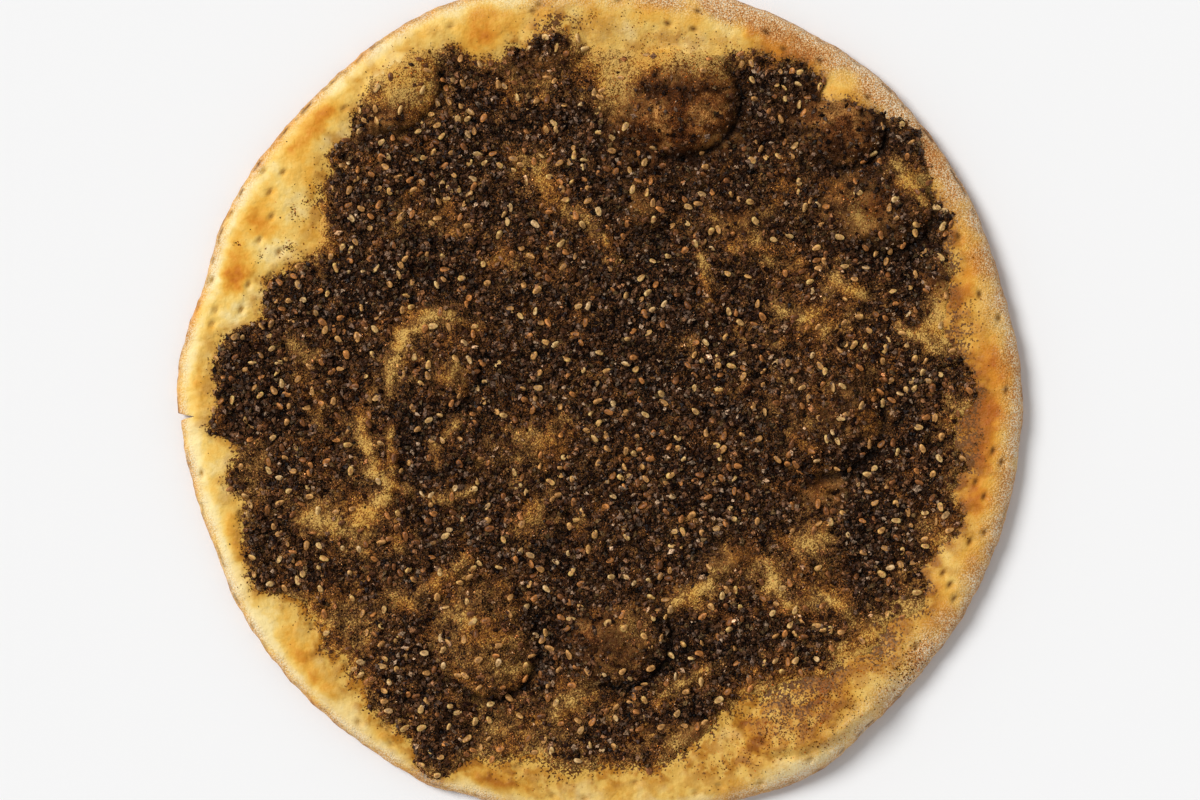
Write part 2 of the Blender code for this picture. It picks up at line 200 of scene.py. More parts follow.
# Broad places where the spread is thin, or thick where negative:
# x, y, half length, half width, direction, bareness
BARE = (
    (-20, -12, 12, 7, 15, 0.16), (-15, 40, 7, 4, 0, 0.3), (-28, 43, 6, 4, 0, 0.35), (-25, -38, 7, 5, 0, 0.25),
    (-87, -35, 8, 6, 0, 0.25), (-73, -36, 7, 6, 0, 0.22), (26, -61, 7, 5, 0, 0.22), (64, -42, 6, 5, 0, 0.25),
    (69, -62, 10, 5, 0, 0.32), (-61, -62, 7, 5, 0, 0.28), (-94, 15, 6, 5, 0, 0.42), (4, 96, 6, 12, 0, 0.8),
    (82, -8, 2, 9, 0, 0.25), (-5, 103, 9, 6, 0, 0.35), (-62, 98, 9, 8, 50, 0.85), (-57, 93, 7, 9, 10, 0.4),
    (-36, -74, 15, 13, 110, 0.44), (-27, -84, 6, 5, 0, 0.36), (-46, -82, 5, 5, 0, 0.3),
    (-44, -66, 8, 5, 30, 0.25), (94, 67, 5, 5, -50, 0.55), (79, 55, 7, 5, 20, 0.4), (73, 63, 6, 4, 0, 0.42),
    (66, -6, 16, 15, 0, 0.27), (-54, 14, 12, 12, 0, 0.22), (100, -40, 5, 8, 0, 0.4),
    (78, -76, 12, 7, 30, 0.55), (24, -88, 12, 6, 25, 0.24), (8, -70, 11, 10, 0, 0.42),
    (-22, 96, 12, 7, 0, 0.32), (19, 104, 16, 6, 0, 0.55), (34, 99, 6, 5, -30, 0.34),
    (-52, 56, 14, 7, 10, 0.3), (-80, -12, 14, 22, 0, 0.16), (-75, -42, 22, 16, 0, 0.22),
    (44, 50, 20, 14, -15, 0.17), (68, 24, 16, 12, 0, 0.28), (-22, -16, 18, 12, 15, 0.2),
    (52, -54, 26, 11, 8, 0.26), (-8, -92, 12, 8, 0, 0.36), (-20, 68, 12, 9, -60, 0.28),
    (56, 66, 6, 5, 0, 0.35), (62, 26, 5, 3, 0, 0.25), (-76, -70, 11, 9, -40, 0.38),
    (-107, -22, 5, 10, 0, 0.45), (108, -4, 6, 9, 0, 0.45), (104, 26, 6, 7, 0, 0.5), (-86, 52, 9, 9, 0, 0.2),
    (39.5, 87, 1.3, 7, 5, 0.5), (35, 78.5, 1.3, 5, -38, 0.5), (-30, -100, 16, 7, 0, 0.34),
    (24, -104, 12, 5, 0, 0.4), (0, -43, 14, 8, 0, 0.14), (-15, 25, 14, 8, 0, 0.12), (68, -28, 9, 7, 0, 0.32),
    (-36, 40, 10, 8, 0, 0.14), (84, 8, 8, 6, 0, 0.2), (58, 40, 6, 5, 0, 0.28), (12, -25, 6, 6, 0, 0.2),
    (36, -12, 8, 5, 0, 0.14), (-95, -62, 8, 5, 0, 0.32), (-68, 74, 10, 8, 0, 0.14),
    (-30, -56, 10, 6, 0, 0.18), (-92, 6, 6, 8, 0, 0.14), (40, 8, 10, 8, 0, 0.12), (-6, 6, 10, 8, 0, 0.1),
    (94, -62, 6, 6, 0, 0.36), (-56, 42, 10, 6, 10, -0.35), (-2, 84, 8, 6, 0, -0.3), (20, 34, 9, 9, 0, -0.3),
    (11, 18, 8, 7, 0, -0.2), (80, -42, 6, 12, 0, -0.38), (21, -74, 5, 8, 0, -0.5), (76, -18, 8, 6, 0, -0.3),
    (-104, 0, 8, 8, 0, -0.3), (46, 86, 6, 12, 0, -0.35), (-58, -14, 4, 8, 20, -0.35),
    (88, 45, 10, 5, 0, -0.35), (30, -96, 6, 4, 0, -0.3), (-17, -75, 4, 12, 0, -0.4),
    (-55, -22, 5, 4, 0, -0.35), (-57, 10, 4, 5, 0, -0.25),
)

# Skin burnt red-brown in the oven: x, y, half length, half width, direction, strength
BURNT = (
    (22, 84, 17, 10, 0, 1.2), (26, 95, 12, 7, 0, 0.45), (36, 90, 4, 9, 0, 0.4), (72, 85, 12, 9, 150, 1.1),
    (82, 58, 13, 8, 170, 0.6), (2, -75, 10, 8, 0, 0.6), (-5, -71, 3, 3, 0, 0.8), (30, -103, 5, 4, 0, 0.9),
    (11, 61, 5, 5, 0, 0.35), (-45, 8, 5, 3.5, 0, 0.3), (72, -4, 9, 9, 0, 0.25), (38, -50, 6, 4, 0, 0.4),
    (-66, 86, 10, 4, 20, 0.7), (68, -28, 7, 5, 0, 0.55), (104, 36, 5, 5, 0, 0.7), (42, 54, 8, 5, 0, 0.25),
    (-22, 104, 8, 5, 0, 0.35),
)

# Oil soaked into the crust, with fine dust: x, y, half length, half width, direction, strength
OILED = (
    (60, -95, 21, 12, 30, 1.1), (79, -97, 5, 10, -30, -0.5), (60, -112, 16, 3.5, 15, -0.7),
    (113, -11, 6, 11, 0, 1.0), (108, 23, 7, 10, 0, 0.9), (116, 25, 5, 12, 0, 0.35), (106, 47, 5, 7, 0, 0.6),
    (4, 99, 8, 9, 0, 0.8), (20, 111, 13, 4, 0, 0.6), (-10, 117, 17, 5, 0, 0.75), (-38, 105, 8, 4, 0, 0.4),
    (-107, -22, 5, 8, 0, 1.0), (-92, -65, 8, 5, -50, 0.5), (-79, -87, 8, 4, -45, 0.4),
    (-18, -115, 14, 5, 0, 0.6), (36, -113, 11, 4, 10, 0.6), (86, -74, 7, 7, 0, 1.1),
    (12, -108, 13, 5, 0, 0.5), (95, -60, 6, 8, 20, 0.3), (-89, 62, 5, 13, -20, 0.5), (-100, 38, 5, 5, 0, 0.3),
    (92, -79, 9, 5, 45, 0.12),
)

# Loose clusters of crumbs on the crust: x, y, half length, half width, direction, strength
STRAYS = (
    (95, -82, 5, 5, 0, 1.0), (-95, 57.5, 0.7, 2.0, 0, 2.0), (-91, 61, 1.2, 0.8, 30, 2.0),
    (-112, 48, 1.6, 0.8, 0, 2.0), (-105, 44, 0.6, 1.8, -20, 2.0), (-3, 118, 1.2, 1.2, 0, 2.4),
    (-96, 47, 1.8, 1.3, 0, 2.0), (-97, 45, 4, 4, 0, 0.3), (10, 116, 5, 3, 0, 0.3), (39, 117, 0.6, 3, 0, 1.0),
    (24, 102, 14, 6, 0, 1.0), (22, 87, 14, 10, 0, 0.45), (-60, 97, 7, 8, 0, 0.45), (84, 60, 12, 8, 0, 0.3),
    (4, 97, 6, 8, 0, 0.45), (24, -106, 2, 1.5, 0, 0.8), (-112, -38, 0.8, 2.0, 0, 0.8),
    (101, -33, 4, 3, 0, 0.4), (63, -94, 22, 10, 33, 0.8), (60, -101, 18, 4, 12, 0.3),
    (-89, 62, 4, 10, -20, 0.25), (92, -79, 8, 5, 45, 0.25), (-38, 105, 6, 3, 0, 0.25),
)

# Patches of flour on the rim: x, y, half length, half width, direction, strength
FLOURED = (
    (72, -110, 16, 3.5, 22, 0.4), (98, -78, 12, 6, 52, 0.4), (58, 116, 24, 6, -26, 0.4),
    (96, 88, 18, 6, -48, 0.4),
)

# Where sesame seeds lie thickest: x, y, half length, half width, direction, strength
SEEDY = (
    (-70, 68, 16, 12, 0, 0.9), (-52, 94, 12, 9, 0, 0.7), (-110, 8, 9, 11, 0, 0.7), (-85, 38, 14, 10, 0, 0.4),
    (-36, 78, 14, 9, 0, 0.5), (-34, 14, 10, 8, 0, 0.5), (50, 98, 16, 7, -12, 0.9), (18, 72, 15, 4, 0, 1.1),
    (88, 76, 10, 8, 0, 0.7), (72, 24, 16, 8, 0, 0.6), (100, 55, 7, 8, 0, 0.6), (-94, -28, 12, 16, 0, 0.6),
    (-98, -51, 12, 7, 0, 0.8), (-66, -90, 16, 9, -35, 0.7), (-72, -46, 12, 7, 0, 0.4),
    (-42, -32, 10, 7, 0, 0.4), (74, -20, 17, 9, 0, 0.7), (54, -77, 14, 9, 20, 0.7), (90, -50, 10, 9, 0, 0.7),
    (62, -32, 12, 7, 0, 0.4), (104, -20, 8, 14, 0, 0.5), (10, -22, 16, 14, 0, 0.3), (-12, 62, 30, 12, 0, 0.2),
)

# The dashed crack between the crust's lip and its underside: angle, strength, half width in degrees
LIPS = (
    (142, 1.2, 22), (100, 0.5, 10), (38, 1.0, 20), (340, 0.5, 10), (205, 0.6, 20), (262, 0.7, 25),
    (310, 0.8, 14),
)
LIP_INSET = 1.0
LIP_WIDTH = 0.38
LIP_DEPTH = 0.5

# The mesh's outline lies this far inside the solid's, so that its unevenness stays close to it
OUTLINE_INSET = 0.3

# Mesh fineness of the bread: points round the rim, rings of each stretch, and gaps between rings
RIM_COUNT = 1400
RIM_STARTS = 99.0
RIM_RINGS = 40
ROUND_RINGS = 12
FOOT_RINGS = 5
HIDDEN_SPACING = 1.9
UNDER_SPACING = 3.2
# The bread's skin lies this far down where the spread hides it
HIDDEN_SINK = 0.6

# Mesh fineness of the spread: gaps between rings and along them, and its coarser face under the skin
SPREAD_SPACING = 0.70
SPREAD_ALONG = 1.12 * SPREAD_SPACING
UNDER_SPREAD_RINGS = 20
UNDER_SPREAD_COUNT = 160
# How deep the spread's edge and its lower face lie in the bread, and how far out the lower face reaches
SPREAD_LIP = 0.6
UNDER_SPREAD_DEPTH = 1.6
UNDER_SPREAD_REACH = 0.985

# Noise, each layer with its height, spacing and seed
EDGE_NOISE = ((1.1, 4.0, 31), (0.9, 1.8, 32), (0.5, 0.9, 33))
OUTLINE_NOISE = ((0.34, 7.0, 53), (0.20, 2.6, 54))
CRUST_RELIEF = ((0.20, 4.0, 51), (0.07, 1.6, 52))
SPREAD_LUMPS = ((0.45, 7.0, 21), (0.72, 3.0, 22), (0.42, 1.6, 23))
COVER_PATCHES = ((0.20, 14.0, 45), (0.27, 5.0, 46))
# Painted light and shade of the clumps, following the spread's lumps, which share these seeds
CLUMP_SHADE_LAYERS = ((0.62, 3.0, 22), (0.38, 1.6, 23))

# Noise that moves patches' places along x and y, so that their outlines are uneven
COVER_WARP = (((2.4, 7.0, 41), (1.4, 2.6, 43)), ((2.4, 7.0, 42), (1.4, 2.6, 44)))
CRUST_WARP = (((1.8, 5.0, 61), (0.9, 2.0, 63)), ((1.8, 5.0, 62), (0.9, 2.0, 64)))
FOLD_WARP = (((0.9, 5.0, 47),), ((0.9, 5.0, 48),))
BURNT_WARP = (((1.5, 4.0, 71),), ((1.5, 4.0, 72),))
EDGE_WARP = 0.8

# The spread: how thick it is, with what shares of its thickness and lumps where it is bare,
# how bare its thin places are, and how it fades at its edge
SPREAD_THICKNESS = 1.25
BARE_THICKNESS = 0.20
BARE_LUMPS = 0.35
SPREAD_EDGE_ROUND = 2.2
BASE_COVER = 0.96
BARE_STRENGTH = 1.02
FEATHER = 0.45
FEATHER_WIDTH = 1.5

# How much lighter the clumps' tops are painted than the gaps between them: painted light on the tops and
# painted shade in the gaps
CLUMP_SHADE_CONTRAST = 1.4

# The crease round a bubble's foot, a groove with painted shade in it, deepest and darkest on the side turned
# away from the light.
# Its reach and width are shares of the bubble's own size, and lower bubbles have a weaker one
CREASE_REACH = 1.03
CREASE_WIDTH = 0.085
CREASE_DEPTH = 0.8
CREASE_FULL_HEIGHT = 4.4
SHADY_ANGLE = -38.0

# How many of each small thing
SEED_COUNT = 1200
CRUMB_COUNT = 18000
GRAIN_COUNT = 42000
DUST_COUNT = 40000
SPECK_COUNT = 7000

# Crumbs: width and height as shares of the length, how far they lean, and how uneven they are
CRUMB_STRETCH = (1.0, 0.78, 0.62)
CRUMB_VARIETY = (0.75, 1.25)
CRUMB_TILT = 0.65
CRUMB_JITTER = 0.28
# They are redder and brighter by these shares where the spread is thin, and darker by this painted shade in a
# crease
THIN_TINT = (0.55, 0.32, 0.05)
CREASE_SHADE = 0.85

# Seeds: half sizes, gap between them, how far out they lie, lean, unevenness and height above the surface
SEED_HALF = (1.46, 0.93, 0.56)
SEED_APART = 2.2
SEED_REACH = 128.0
SEED_TILT = 0.30
SEED_JITTER = 0.05
SEED_LIFT = 0.28
# How much they vary as wholes, side by side and in brightness, how far they sink, and their random seed
SEED_SIZES = (0.80, 1.08)
SEED_VARIETY = (0.90, 1.10)
SEED_TINT = 0.18
SEED_SUNK = (-0.70, 0.55)
SEEDS_DRAW = 91
# Mesh fineness of a seed, and its palest colour, in linear light
SEED_SIDES = 8
SEED_BANDS = 6
PALEST_SEED = (0.69, 0.465, 0.235)

# How far past the topping's edge small things lie, and where the loose specks start, a little inside it
CRUMB_MARGIN = 0.7
DUST_MARGIN = 1.6
SEED_MARGIN = 0.8
SPECKS_START = -1.5

# The surface's slope under a small thing is measured this far to each side
SLOPE_STEP = 0.6
# A small thing's upward direction keeps at least this much height, so that none stands on its edge
LEAST_UP = 0.35

# Colours of crumbs and seeds: share of the pieces, then red, green and blue as in a photograph
DARK = (
    (0.28, 52, 31, 17), (0.22, 74, 50, 32), (0.20, 24, 9, 3), (0.12, 90, 71, 57), (0.07, 74, 57, 34),
    (0.07, 106, 74, 48), (0.04, 134, 112, 90),
)
BROWN = (
    (0.28, 92, 63, 38), (0.26, 64, 41, 24), (0.20, 115, 80, 50), (0.08, 102, 83, 60), (0.12, 128, 86, 50),
    (0.06, 152, 116, 76),
)
RUDDY = ((0.34, 84, 42, 10), (0.26, 110, 58, 14), (0.22, 54, 27, 8), (0.18, 116, 70, 28))
HULLED = (
    (0.38, 200, 146, 83), (0.24, 170, 111, 56), (0.20, 213, 164, 100), (0.14, 126, 78, 38),
    (0.04, 216, 172, 114),
)


def srgb(red, green, blue):
    """A colour given as 0 to 255 in a photograph, as linear light."""
    shares = [value / 255.0 for value in (red, green, blue)]
    linear = [s / 12.92 if s <= 0.04045 else ((s + 0.055) / 1.055) ** 2.4 for s in shares]
    return (*linear, 1.0)


def smoothstep(low, high, value):
    share = np.clip((value - low) / (high - low), 0.0, 1.0)
    return share * share * (3.0 - 2.0 * share)


def bell_sum(rows, angle):
    total = np.zeros_like(angle, dtype=float)
    for centre, push, width in rows:
        away = (angle - centre + 180.0) % 360.0 - 180.0
        total += push * np.exp(-((away / width) ** 2))
    return total


def patch_sum(rows, x, y):
    """The sum of bell-shaped patches, each (x, y, half length, half width, direction, strength)."""
    total = np.zeros_like(x, dtype=float)
    for cx, cy, half_length, half_width, direction, strength in rows:
        along, across = turned(x, y, cx, cy, direction)
        total += strength * np.exp(-((along / half_length) ** 2) - (across / half_width) ** 2)
    return total


def turned(x, y, centre_x, centre_y, direction):
    turn = math.radians(direction)
    dx = x - centre_x
    dy = y - centre_y
    along = dx * math.cos(turn) + dy * math.sin(turn)
    across = dy * math.cos(turn) - dx * math.sin(turn)
    return along, across


# The noise below: cells before it repeats, cells that keep places above 0, and what brings it to -1 to 1
NOISE_CELLS = 256
NOISE_START = 500.0
NOISE_SCALE = 1.6


def rough(x, y, spacing, seed):
    """Smooth seeded noise, about -1 to 1, with lumps about spacing wide."""
    turns = np.random.default_rng(seed).random((NOISE_CELLS, NOISE_CELLS)) * 2.0 * math.pi
    u = np.asarray(x, dtype=float) / spacing + NOISE_START
    v = np.asarray(y, dtype=float) / spacing + NOISE_START
    column = np.floor(u).astype(int)
    row = np.floor(v).astype(int)
    total = 0.0
    for right in (0, 1):
        for up in (0, 1):
            turn = turns[(column + right) % NOISE_CELLS, (row + up) % NOISE_CELLS]
            du = u - column - right
            dv = v - row - up
            near_u = 1.0 - np.abs(du)
            near_v = 1.0 - np.abs(dv)
            fade = near_u ** 3 * (near_u * (near_u * 6 - 15) + 10)
            fade = fade * near_v ** 3 * (near_v * (near_v * 6 - 15) + 10)
            total = total + (np.cos(turn) * du + np.sin(turn) * dv) * fade
    return NOISE_SCALE * total


def layered(x, y, layers):
    """The sum of layers of noise, each (height, spacing, seed)."""
    return sum(height * rough(x, y, spacing, seed) for height, spacing, seed in layers)


def pushes(x, y, warp):
    """How far a warp moves places along x and along y."""
    return [layered(x, y, layers) for layers in warp]


def at(angle, distance):
    """x and y of a place given by its angle and its distance from the middle."""
    return distance * np.cos(np.radians(angle)), distance * np.sin(np.radians(angle))


def polar(x, y):
    return np.degrees(np.arctan2(y, x)) % 360.0, np.hypot(x, y)


def even(count):
    """Angles at even steps all round."""
    return np.arange(count) * 360.0 / count


def bread_radius(angle):
    return BREAD_RADIUS + bell_sum(SWELLS, angle)


def outline_shift():
    """What moves the outline's box so that its middle lies over the origin."""
    angle = even(OUTLINE_SAMPLES)
    x, y = at(angle, bread_radius(angle))
    return -(x.min() + x.max()) / 2.0, -(y.min() + y.max()) / 2.0


SHIFT = np.array([*outline_shift(), 0.0])


def rounded_edge():
    """The topping's reach at even steps of angle, with the outline's corners rounded off."""
    steps = np.arange(0.0, 360.0, EDGE_STEP)
    reach = np.interp(steps, [row[0] for row in EDGE], [row[1] for row in EDGE], period=360.0)
    shifts = np.arange(-EDGE_NEIGHBOURS, EDGE_NEIGHBOURS + 1)
    shares = np.exp(-((shifts * EDGE_STEP / EDGE_ROUNDING) ** 2))
    shares /= shares.sum()
    return steps, sum(share * np.roll(reach, shift) for share, shift in zip(shares, shifts))


EDGE_ANGLES, EDGE_REACHES = rounded_edge()


def roughened(reach, angle, distance, layers):
    """A reach with layers of noise added, as they are at a distance from the middle."""
    x, y = at(angle, distance)
    for height, spacing, seed in layers:
        reach = reach + height * rough(x, y, spacing, seed)
    return reach


def edge_radius(angle):
    """Reach of the ragged topping."""
    reach = np.interp(angle, EDGE_ANGLES, EDGE_REACHES, period=360.0)
    return roughened(reach, angle, TOPPING_RADIUS, EDGE_NOISE)


def skin_height(x, y):
    """Height of the bread's upper skin above the face that it rests on, as in the solids."""
    angle, distance = polar(x, y)
    rim = bread_radius(angle)
    crown = CROWN_HEIGHT + CROWN_LEAN * np.cos(np.radians(angle - CROWN_LEAN_ANGLE))
    share = smoothstep(CROWN_STARTS * rim, CROWN_ENDS * rim, distance)
    height = FLOOR_HEIGHT + (crown - FLOOR_HEIGHT) * share
    tallest = np.zeros_like(height)
    for cx, cy, half_length, half_width, direction, top in BUBBLES:
        along, across = turned(x, y, cx, cy, direction)
        away = np.clip((along / half_length) ** 2 + (across / half_width) ** 2, 0.0, 1.0)
        tallest = np.maximum(tallest, top * (1.0 - away) ** BUBBLE_STEEPNESS)
    height = height + tallest + patch_sum(WRINKLES, x, y)
    for spacing, top, layer in WOBBLES:
        places = zip((x / spacing).tolist(), (y / spacing).tolist())
        height = height + top * np.array([noise.noise(Vector((u, v, layer))) for u, v in places])
    inset = np.clip((rim - distance) / EDGE_ROUND, 0.0, 1.0)
    roundness = np.sqrt(1.0 - (1.0 - inset) ** 2)
    return height * (WIDEST_LEVEL + (1.0 - WIDEST_LEVEL) * roundness)


def fold_parts(x, y):
    """Height of the folds and grooves, and how bare they are."""
    height = np.zeros_like(x, dtype=float)
    bareness = np.zeros_like(x, dtype=float)
    for top, half_width, bare, *line in FOLDS:
        reach = FOLD_REACH * half_width
        near = (x > min(px for px, _ in line) - reach) & (x < max(px for px, _ in line) + reach)
        near &= (y > min(py for _, py in line) - reach) & (y < max(py for _, py in line) + reach)
        near_x = x[near]
        near_y = y[near]
        push_x, push_y = pushes(near_x, near_y, FOLD_WARP)
        away = line_distance(near_x + push_x, near_y + push_y, line)
        crest = np.exp(-((away / half_width) ** 2))
        shoulder = np.exp(-((away / (2.0 * half_width)) ** 2))
        height[near] += FOLD_RISE * top * crest
        broken = 0.85 + 0.45 * rough(near_x, near_y, 4.0, 49)
        bared = bare * broken * (FOLD_CREST_BARE * crest ** 2 + FOLD_SIDE_BARE * shoulder)
        bareness[near] = np.maximum(bareness[near], bared)
    return height, bareness


def line_distance(x, y, line):
    """Distance to a line of straight pieces."""
    nearest = np.full_like(x, 1000.0, dtype=float)
    for (from_x, from_y), (to_x, to_y) in zip(line, line[1:]):
        run_x = to_x - from_x
        run_y = to_y - from_y
        share = ((x - from_x) * run_x + (y - from_y) * run_y) / (run_x ** 2 + run_y ** 2)
        share = np.clip(share, 0.0, 1.0)
        nearest = np.minimum(nearest, np.hypot(x - from_x - share * run_x, y - from_y - share * run_y))
    return nearest


def dough_height(x, y):
    """The skin with its small folds."""
    return skin_height(x, y) + fold_parts(x, y)[0]


def cover_at(x, y):
    """How thickly za'atar covers a place: 0 where dough shows, 1 where it is dense."""
    push_x, push_y = pushes(x, y, COVER_WARP)
    bare = BARE_STRENGTH * patch_sum(BARE, x + push_x, y + push_y)
    patchy = layered(x, y, COVER_PATCHES)
    folded = fold_parts(x, y)[1]
    angle, distance = polar(x + EDGE_WARP * push_x, y + EDGE_WARP * push_y)
    inset = np.maximum(edge_radius(angle) - distance, 0.0)
    thinned = bell_sum(THIN_EDGES, angle) * np.exp(-((inset / THIN_EDGE_WIDTH) ** 2))
    return np.clip(BASE_COVER - bare - folded - thinned - np.maximum(patchy, 0.0), 0.0, 1.0)


def crease_and_shade_at(x, y):
    """1 in the deep crease at a bubble's foot, fading to 0 away from it, stronger on the side turned from the
    light: it shapes the groove and its painted shade.
    """
    deepest = np.zeros_like(x, dtype=float)
    for cx, cy, half_length, half_width, direction, top in BUBBLES:
        along, across = turned(x, y, cx, cy, direction)
        away = np.hypot(along / half_length, across / half_width)
        side = np.cos(np.arctan2(y - cy, x - cx) - math.radians(SHADY_ANGLE))
        shade = np.clip(0.34 + 0.80 * side, 0.0, 1.0) * min(1.0, top / CREASE_FULL_HEIGHT)
        deepest = np.maximum(deepest, shade * np.exp(-(((away - CREASE_REACH) / CREASE_WIDTH) ** 2)))
    return deepest


def burnt_at(x, y):
    push_x, push_y = pushes(x, y, BURNT_WARP)
    return np.clip(patch_sum(BURNT, x + push_x, y + push_y), 0.0, 1.0)


def clump_shade_at(x, y):
    """About -1 in the gaps between clumps of za'atar and 1 on top of them, for the painted shade in the gaps
    and the painted light on the tops.
    """
    return layered(x, y, CLUMP_SHADE_LAYERS)


def spread_height(x, y):
    """Height of the spread's upper face, from its relief."""
    angle, distance = polar(x, y)
    inside = smoothstep(0.0, SPREAD_EDGE_ROUND, edge_radius(angle) - distance)
    cover = cover_at(x, y)
    thickness = SPREAD_THICKNESS * (BARE_THICKNESS + (1.0 - BARE_THICKNESS) * cover)
    lumpy = BARE_LUMPS + (1.0 - BARE_LUMPS) * cover
    for height, spacing, seed in SPREAD_LUMPS:
        thickness = thickness + height * rough(x, y, spacing, seed) * lumpy
    thickness = thickness - CREASE_DEPTH * crease_and_shade_at(x, y)
    return dough_height(x, y) + TOPPING_GAP + (thickness + TOPPING_GAP) * inside - TOPPING_GAP


def ring(angle, distance, height):
    """Points of one ring. height takes x and y."""
    x, y = at(angle, distance)
    return np.column_stack([x, y, height(x, y)])


def flat(x, y):
    return np.zeros_like(x)


def middle(height):
    """A ring of one point, in the middle."""
    return ring(np.zeros(1), 0.0, height)


def stitch(inner, outer):
    """Triangles between two closed rings of point numbers, which may differ in count."""
    faces = []
    few = len(inner)
    many = len(outer)
    i = j = 0
    while i < few or j < many:
        if i == few or (j < many and (2 * j + 1) * few <= (2 * i + 1) * many):
            faces.append((inner[i % few], outer[j], outer[(j + 1) % many]))
            j += 1
        else:
            faces.append((inner[i], outer[j % many], inner[(i + 1) % few]))
            i += 1
    return faces


def rings_mesh(rings, foot):
    """Points and faces of a closed form: rings from the top's middle outwards, down and in to the foot."""
    points = np.vstack([*rings, foot])
    numbers = []
    start = 0
    for one in rings:
        numbers.append(list(range(start, start + len(one))))
        start += len(one)
    faces = []
    for inner, outer in zip(numbers, numbers[1:]):
        if len(inner) == 1:
            faces += [(inner[0], outer[k], outer[(k + 1) % len(outer)]) for k in range(len(outer))]
        else:
            faces += stitch(inner, outer)
    last = numbers[-1]
    faces += [(start, last[(k + 1) % len(last)], last[k]) for k in range(len(last))]
    return points, faces


def new_piece(name, points, faces, finish, smooth=True):
    """A mesh object of the part, riding on its body."""
    data = bpy.data.meshes.new(name)
    places = (np.asarray(points) + SHIFT) * MM
    data.from_pydata(places.tolist(), [], np.asarray(faces).tolist())
    data.materials.append(finish)
    if smooth:
        data.shade_smooth()
    data.update()
    piece = bpy.data.objects.new(name, data)
    bpy.context.scene.collection.objects.link(piece)
    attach(piece, BODY)
    return piece


def set_share(piece, name, values):
    """One number for each point, for the material to read."""
    made = piece.data.attributes.new(name, "FLOAT", "POINT")
    made.data.foreach_set("value", np.clip(values, 0.0, 1.0).astype(np.float32))


def set_colour(piece, name, colours):
    made = piece.data.attributes.new(name, "FLOAT_COLOR", "POINT")
    full = np.ones((len(colours), 4), np.float32)
    full[:, :3] = colours
    made.data.foreach_set("color", full.ravel())


class Tree:
    """Short ways to write a material's nodes."""

    def __init__(self, name):
        self.finish = bpy.data.materials.new(name)
        self.finish.use_nodes = True
        self.nodes = self.finish.node_tree.nodes
        self.links = self.finish.node_tree.links
        self.shader = self.nodes["Principled BSDF"]
        self.place = self.nodes.new("ShaderNodeTexCoord").outputs["Object"]

    def put(self, value, socket):
        if isinstance(value, bpy.types.NodeSocket):
            self.links.new(value, socket)
        else:
            socket.default_value = value

    def share(self, name, output="Fac"):
        """A number that the mesh's points carry."""
        node = self.nodes.new("ShaderNodeAttribute")
        node.attribute_name = name
        return node.outputs[output]

    def colour(self, name):
        return self.share(name, "Color")

    def noise(self, size, detail=2.0, roughness=0.5):
        """Noise from 0 to 1 whose lumps are about size millimetres wide."""
        node = self.nodes.new("ShaderNodeTexNoise")
        node.inputs["Scale"].default_value = 0.6 / (size * MM)
        node.inputs["Detail"].default_value = detail
        node.inputs["Roughness"].default_value = roughness
        self.links.new(self.place, node.inputs["Vector"])
        return node.outputs["Fac"]

    def cells(self, size, output="Color"):
        """A random colour, or the distance, for each cell about size millimetres wide."""
        node = self.nodes.new("ShaderNodeTexVoronoi")
        node.inputs["Scale"].default_value = 1.0 / (size * MM)
        self.links.new(self.place, node.inputs["Vector"])
        return node.outputs[output]

    def grain(self, size):
        """Noise as above, stretched so that it nearly fills 0 to 1."""
        return self.step(self.noise(size, 2.0, 0.6), 0.36, 0.64)

    def maths(self, kind, first, second):
        node = self.nodes.new("ShaderNodeMath")
        node.operation = kind
        self.put(first, node.inputs[0])
        self.put(second, node.inputs[1])
        return node.outputs["Value"]

    def add(self, first, second):
        return self.maths("ADD", first, second)

    def less(self, first, second):
        return self.maths("SUBTRACT", first, second)

    def times(self, first, second):
        return self.maths("MULTIPLY", first, second)

    def about(self, value, height):
        """Noise from 0 to 1 turned into a push of up to half of height, up or down."""
        return self.times(self.less(value, 0.5), height)

    def ramp(self, value, *stops):
        node = self.nodes.new("ShaderNodeValToRGB")
        elements = node.color_ramp.elements
        while len(elements) < len(stops):
            elements.new(1.0)
        for element, (place, colour) in zip(elements, stops):
            element.position = place
            element.color = colour
        self.put(value, node.inputs["Fac"])
        return node.outputs["Color"]

    def tones(self, value, *stops):
        """A ramp whose stops are (place, red, green, blue), with the colours as in a photograph."""
        return self.ramp(value, *((place, srgb(*tone)) for place, *tone in stops))

    def scaled(self, value, colour, low, high):
        """A colour multiplied by low where value is 0 and by high where it is 1."""
        scale = self.ramp(value, (0.0, (*low, 1.0)), (1.0, (*high, 1.0)))
        return self.mix(1.0, colour, scale, "MULTIPLY")

    def step(self, value, low, high):
        """0 below low, 1 above high."""
        node = self.nodes.new("ShaderNodeMapRange")
        node.interpolation_type = "SMOOTHSTEP"
        node.inputs["From Min"].default_value = low
        node.inputs["From Max"].default_value = high
        self.put(value, node.inputs["Value"])
        return node.outputs["Result"]

    def mix(self, share, first, second, kind="MIX"):
        node = self.nodes.new("ShaderNodeMix")
        node.data_type = "RGBA"
        node.blend_type = kind
        self.put(share, node.inputs["Factor"])
        self.put(first, node.inputs["A"])
        self.put(second, node.inputs["B"])
        return node.outputs["Result"]

    def bump(self, height, distance, strength):
        node = self.nodes.new("ShaderNodeBump")
        node.inputs["Distance"].default_value = distance * MM
        node.inputs["Strength"].default_value = strength
        self.put(height, node.inputs["Height"])
        return node.outputs["Normal"]

    def set(self, **sockets):
        for name, value in sockets.items():
            self.put(value, self.shader.inputs[name.replace("_", " ")])
        return self.finish


